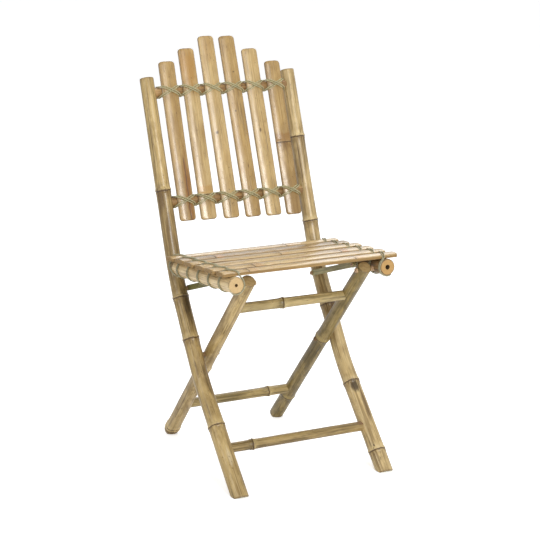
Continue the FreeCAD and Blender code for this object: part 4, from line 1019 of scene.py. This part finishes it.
def back_route(centres):
    """The back lashing's points in its own frame: across the chair, forward off the rail, and up."""
    half, stand = BACK_SLAT_WIDTH / 2, TWINE_STAND
    over = RAIL_RADIUS + stand
    rim = BACK_SLAT_SEAT + BACK_SLAT_EDGE
    skin = rim + BACK_SLAT_CROWN + stand
    gap_x = half + 0.0038

    def slant(centre, lift, rise):
        shape = ((-half - 0.0030, rim - 0.0062, -0.88 * over), (-half - 0.0001, rim + 0.0016, -0.77 * over),
                 (0.0, skin + lift, 0.0), (half + 0.0001, rim + 0.0016, 0.77 * over),
                 (half + 0.0030, rim - 0.0062, 0.88 * over))
        return [Vector((centre + x, y, rise * z)) for x, y, z in shape]

    def behind(start, end, lift, rise):
        held = []
        for turn, share in zip((92, 136, 180, 224, 268), (0.0, 0.85, 1.0, 0.85, 0.0)):
            reach = over + share * lift - (0 if share else TWINE_PRESS)
            x = start + (end - start) * (turn - 90) / 180
            held.append(Vector((x, reach * math.cos(math.radians(turn)),
                                rise * reach * math.sin(math.radians(turn)))))
        return held

    def end_turn(turns, x, along):
        return [Vector((x + along * number, over * math.cos(math.radians(turn)),
                        over * math.sin(math.radians(turn)))) for number, turn in enumerate(turns)]

    first, last = centres[0], centres[-1]
    points = end_turn((188, 228, 268), first - gap_x - 0.0005, 0.0002)
    for number, centre in enumerate(centres):
        points += slant(centre, 0, 1)
        if centre != last:
            points += behind(centre + gap_x, centres[number + 1] - gap_x, 0, 1)
    points += end_turn((92, 136, 180), last + gap_x, 0.0004)
    points += reversed(end_turn((268, 224), last + gap_x, 0.0004))
    for number in reversed(range(len(centres))):
        points += reversed(slant(centres[number], TWINE_CROSS, -1))
        if number:
            points += reversed(behind(centres[number - 1] + gap_x, centres[number] - gap_x, TWINE_CROSS, -1))
    points += end_turn((92, 118, 144), first - gap_x, -0.0002)
    return points


# The last colour is painted shade, for the furrows between the plies.
back_twine = twine_fibre("back_twine", 151.0, (204, 198, 158), (148, 140, 100), (34, 28, 14))
BACK_LASHINGS = {"back_lashing_top": ("back_rail_top", 3.0), "back_lashing_lower": ("back_rail_lower", 4.0)}
for lashing, (rail, seed) in BACK_LASHINGS.items():
    height = RAIL_HEIGHTS[rail]
    strands(lashing, back_route([middle(height) for middle in slat_middles]), 0,
            own_frame(back_out, back_way, (0, post_point(height), height)), back_twine, "back_frame", seed)


SEAT_TWINE_LIFT = 0.0008


def seat_route(side):
    """The seat lashing's points in its own frame: outward, back along the rail, and up."""
    stand = TWINE_STAND
    over = RAIL_FRONT_RADIUS + stand
    rim = SEAT_SLAT_SEAT + SEAT_SLAT_EDGE
    skin = rim + SEAT_SLAT_CROWN + stand + SEAT_TWINE_LIFT
    rise = over * 0.43

    def climb(along, way, outward):
        return [Vector((outward * rise, along, rim - 0.0025)),
                Vector((outward * rise * 0.96, along + way * 0.0014, rim + 0.0008)),
                Vector((outward * rise * 0.82, along + way * 0.0048, rim + 0.0024))]

    def around(along, turns):
        return [Vector((over * math.cos(math.radians(turn)), along, over * math.sin(math.radians(turn))))
                for turn in turns]

    front, rear = seat_gaps[0], seat_gaps[-1]
    points = around(front + 0.0028, [-60]) + around(front, [-105, -140, -175, 150])
    for this_gap, next_gap in zip(seat_gaps, seat_gaps[1:]):
        if this_gap != front:
            points += around(this_gap, [30, 7, -30, -67, -113, -150, 173, 150])
        points += climb(this_gap, 1, -1)
        points += [Vector((0, (this_gap + next_gap) / 2, skin))]
        points += reversed(climb(next_gap, -1, 1))
    points += around(rear, [30])
    for back, turn in ((0.0039, 8), (0.0118, -16), (0.0174, -45), (0.0207, -76), (0.0224, -107)):
        points += around(rear - back, [turn])
    return [Vector((side * p.x, p.y, p.z)) for p in points]


# The last colour is painted shade, for the furrows between the plies.
seat_twine = twine_fibre("seat_twine", 157.0, (182, 176, 146), (138, 132, 102), (46, 42, 26))
for side_name, side in (("left", -1), ("right", 1)):
    strands(f"seat_lashing_{side_name}", seat_route(side), 1,
            own_frame(SEAT_WAY, SEAT_UP, Vector((side * RAIL_X, 0, 0)) + rail_front), seat_twine, "seat",
            11.0 + side)


# The studio: a floor and a surround that the camera sees as plain white, and four soft
# lights. The strongest is in front, the others are above, on the left and behind.
def studio_floor():
    bpy.ops.mesh.primitive_circle_add(vertices=96, radius=45.0, fill_type="NGON", location=(0, 0, -0.0002))
    floor = bpy.context.object
    floor.name = "studio_floor"
    material, tree, shader = surface("floor_paint", 0.9, 0.0)
    place = put(tree, "ShaderNodeNewGeometry").outputs["Position"]
    mottle = cloudy(tree, place, 2.0)
    tree.links.new(tint(tree, mottle, srgb(250, 250, 250), srgb(253, 253, 253)), shader.inputs["Base Color"])
    seen = put(tree, "ShaderNodeLightPath").outputs["Is Camera Ray"]
    tree.links.new(tint(tree, seen, srgb(0, 0, 0), srgb(188, 188, 188)), shader.inputs["Emission Color"])
    shader.inputs["Emission Strength"].default_value = 1.0
    floor.data.materials.append(material)


studio_floor()
WORLD_GLOW, WORLD_BACKING = 0.52, 0.6
world = bpy.data.worlds.new("studio_world")
world.use_nodes = True
backing = world.node_tree.nodes["Background"]
backing.inputs["Color"].default_value = (1.0, 1.0, 1.0, 1.0)
seen = put(world.node_tree, "ShaderNodeLightPath").outputs["Is Camera Ray"]
glow = plus(world.node_tree, times(world.node_tree, seen, WORLD_BACKING), WORLD_GLOW)
world.node_tree.links.new(glow, backing.inputs["Strength"])
bpy.context.scene.world = world
bpy.context.scene.view_settings.view_transform = "Standard"


LIGHTS_AIM = Vector((0, 0, 0.45))


def softbox(name, place, size, power):
    light = bpy.data.lights.new(name, "AREA")
    light.shape, light.size, light.energy = "SQUARE", size, power
    lamp = bpy.data.objects.new(name, light)
    lamp.location = place
    lamp.rotation_euler = (LIGHTS_AIM - Vector(place)).to_track_quat("-Z", "Y").to_euler()
    bpy.context.scene.collection.objects.link(lamp)


softbox("key_light", (-0.2, -3.2, 1.9), 1.1, 60)
softbox("top_light", (0.7, 0.4, 3.1), 1.3, 30)
softbox("side_light", (-3.0, -0.8, 2.0), 1.2, 14)
softbox("rear_light", (1.5, 3.0, 2.2), 1.6, 12)

CAMERA_PLACE, CAMERA_WAY, CAMERA_LENS = (-1.5898, -3.1657, 1.2541), Vector((0.4389, 0.8676, -0.2338)), 115.31
lens = bpy.data.cameras.new("photo_view")
lens.lens, lens.sensor_width, lens.clip_end = CAMERA_LENS, 36.0, 100.0
camera = bpy.data.objects.new("photo_view", lens)
camera.location = CAMERA_PLACE
camera.rotation_euler = CAMERA_WAY.to_track_quat("-Z", "Y").to_euler()
bpy.context.scene.collection.objects.link(camera)
bpy.context.scene.camera = camera
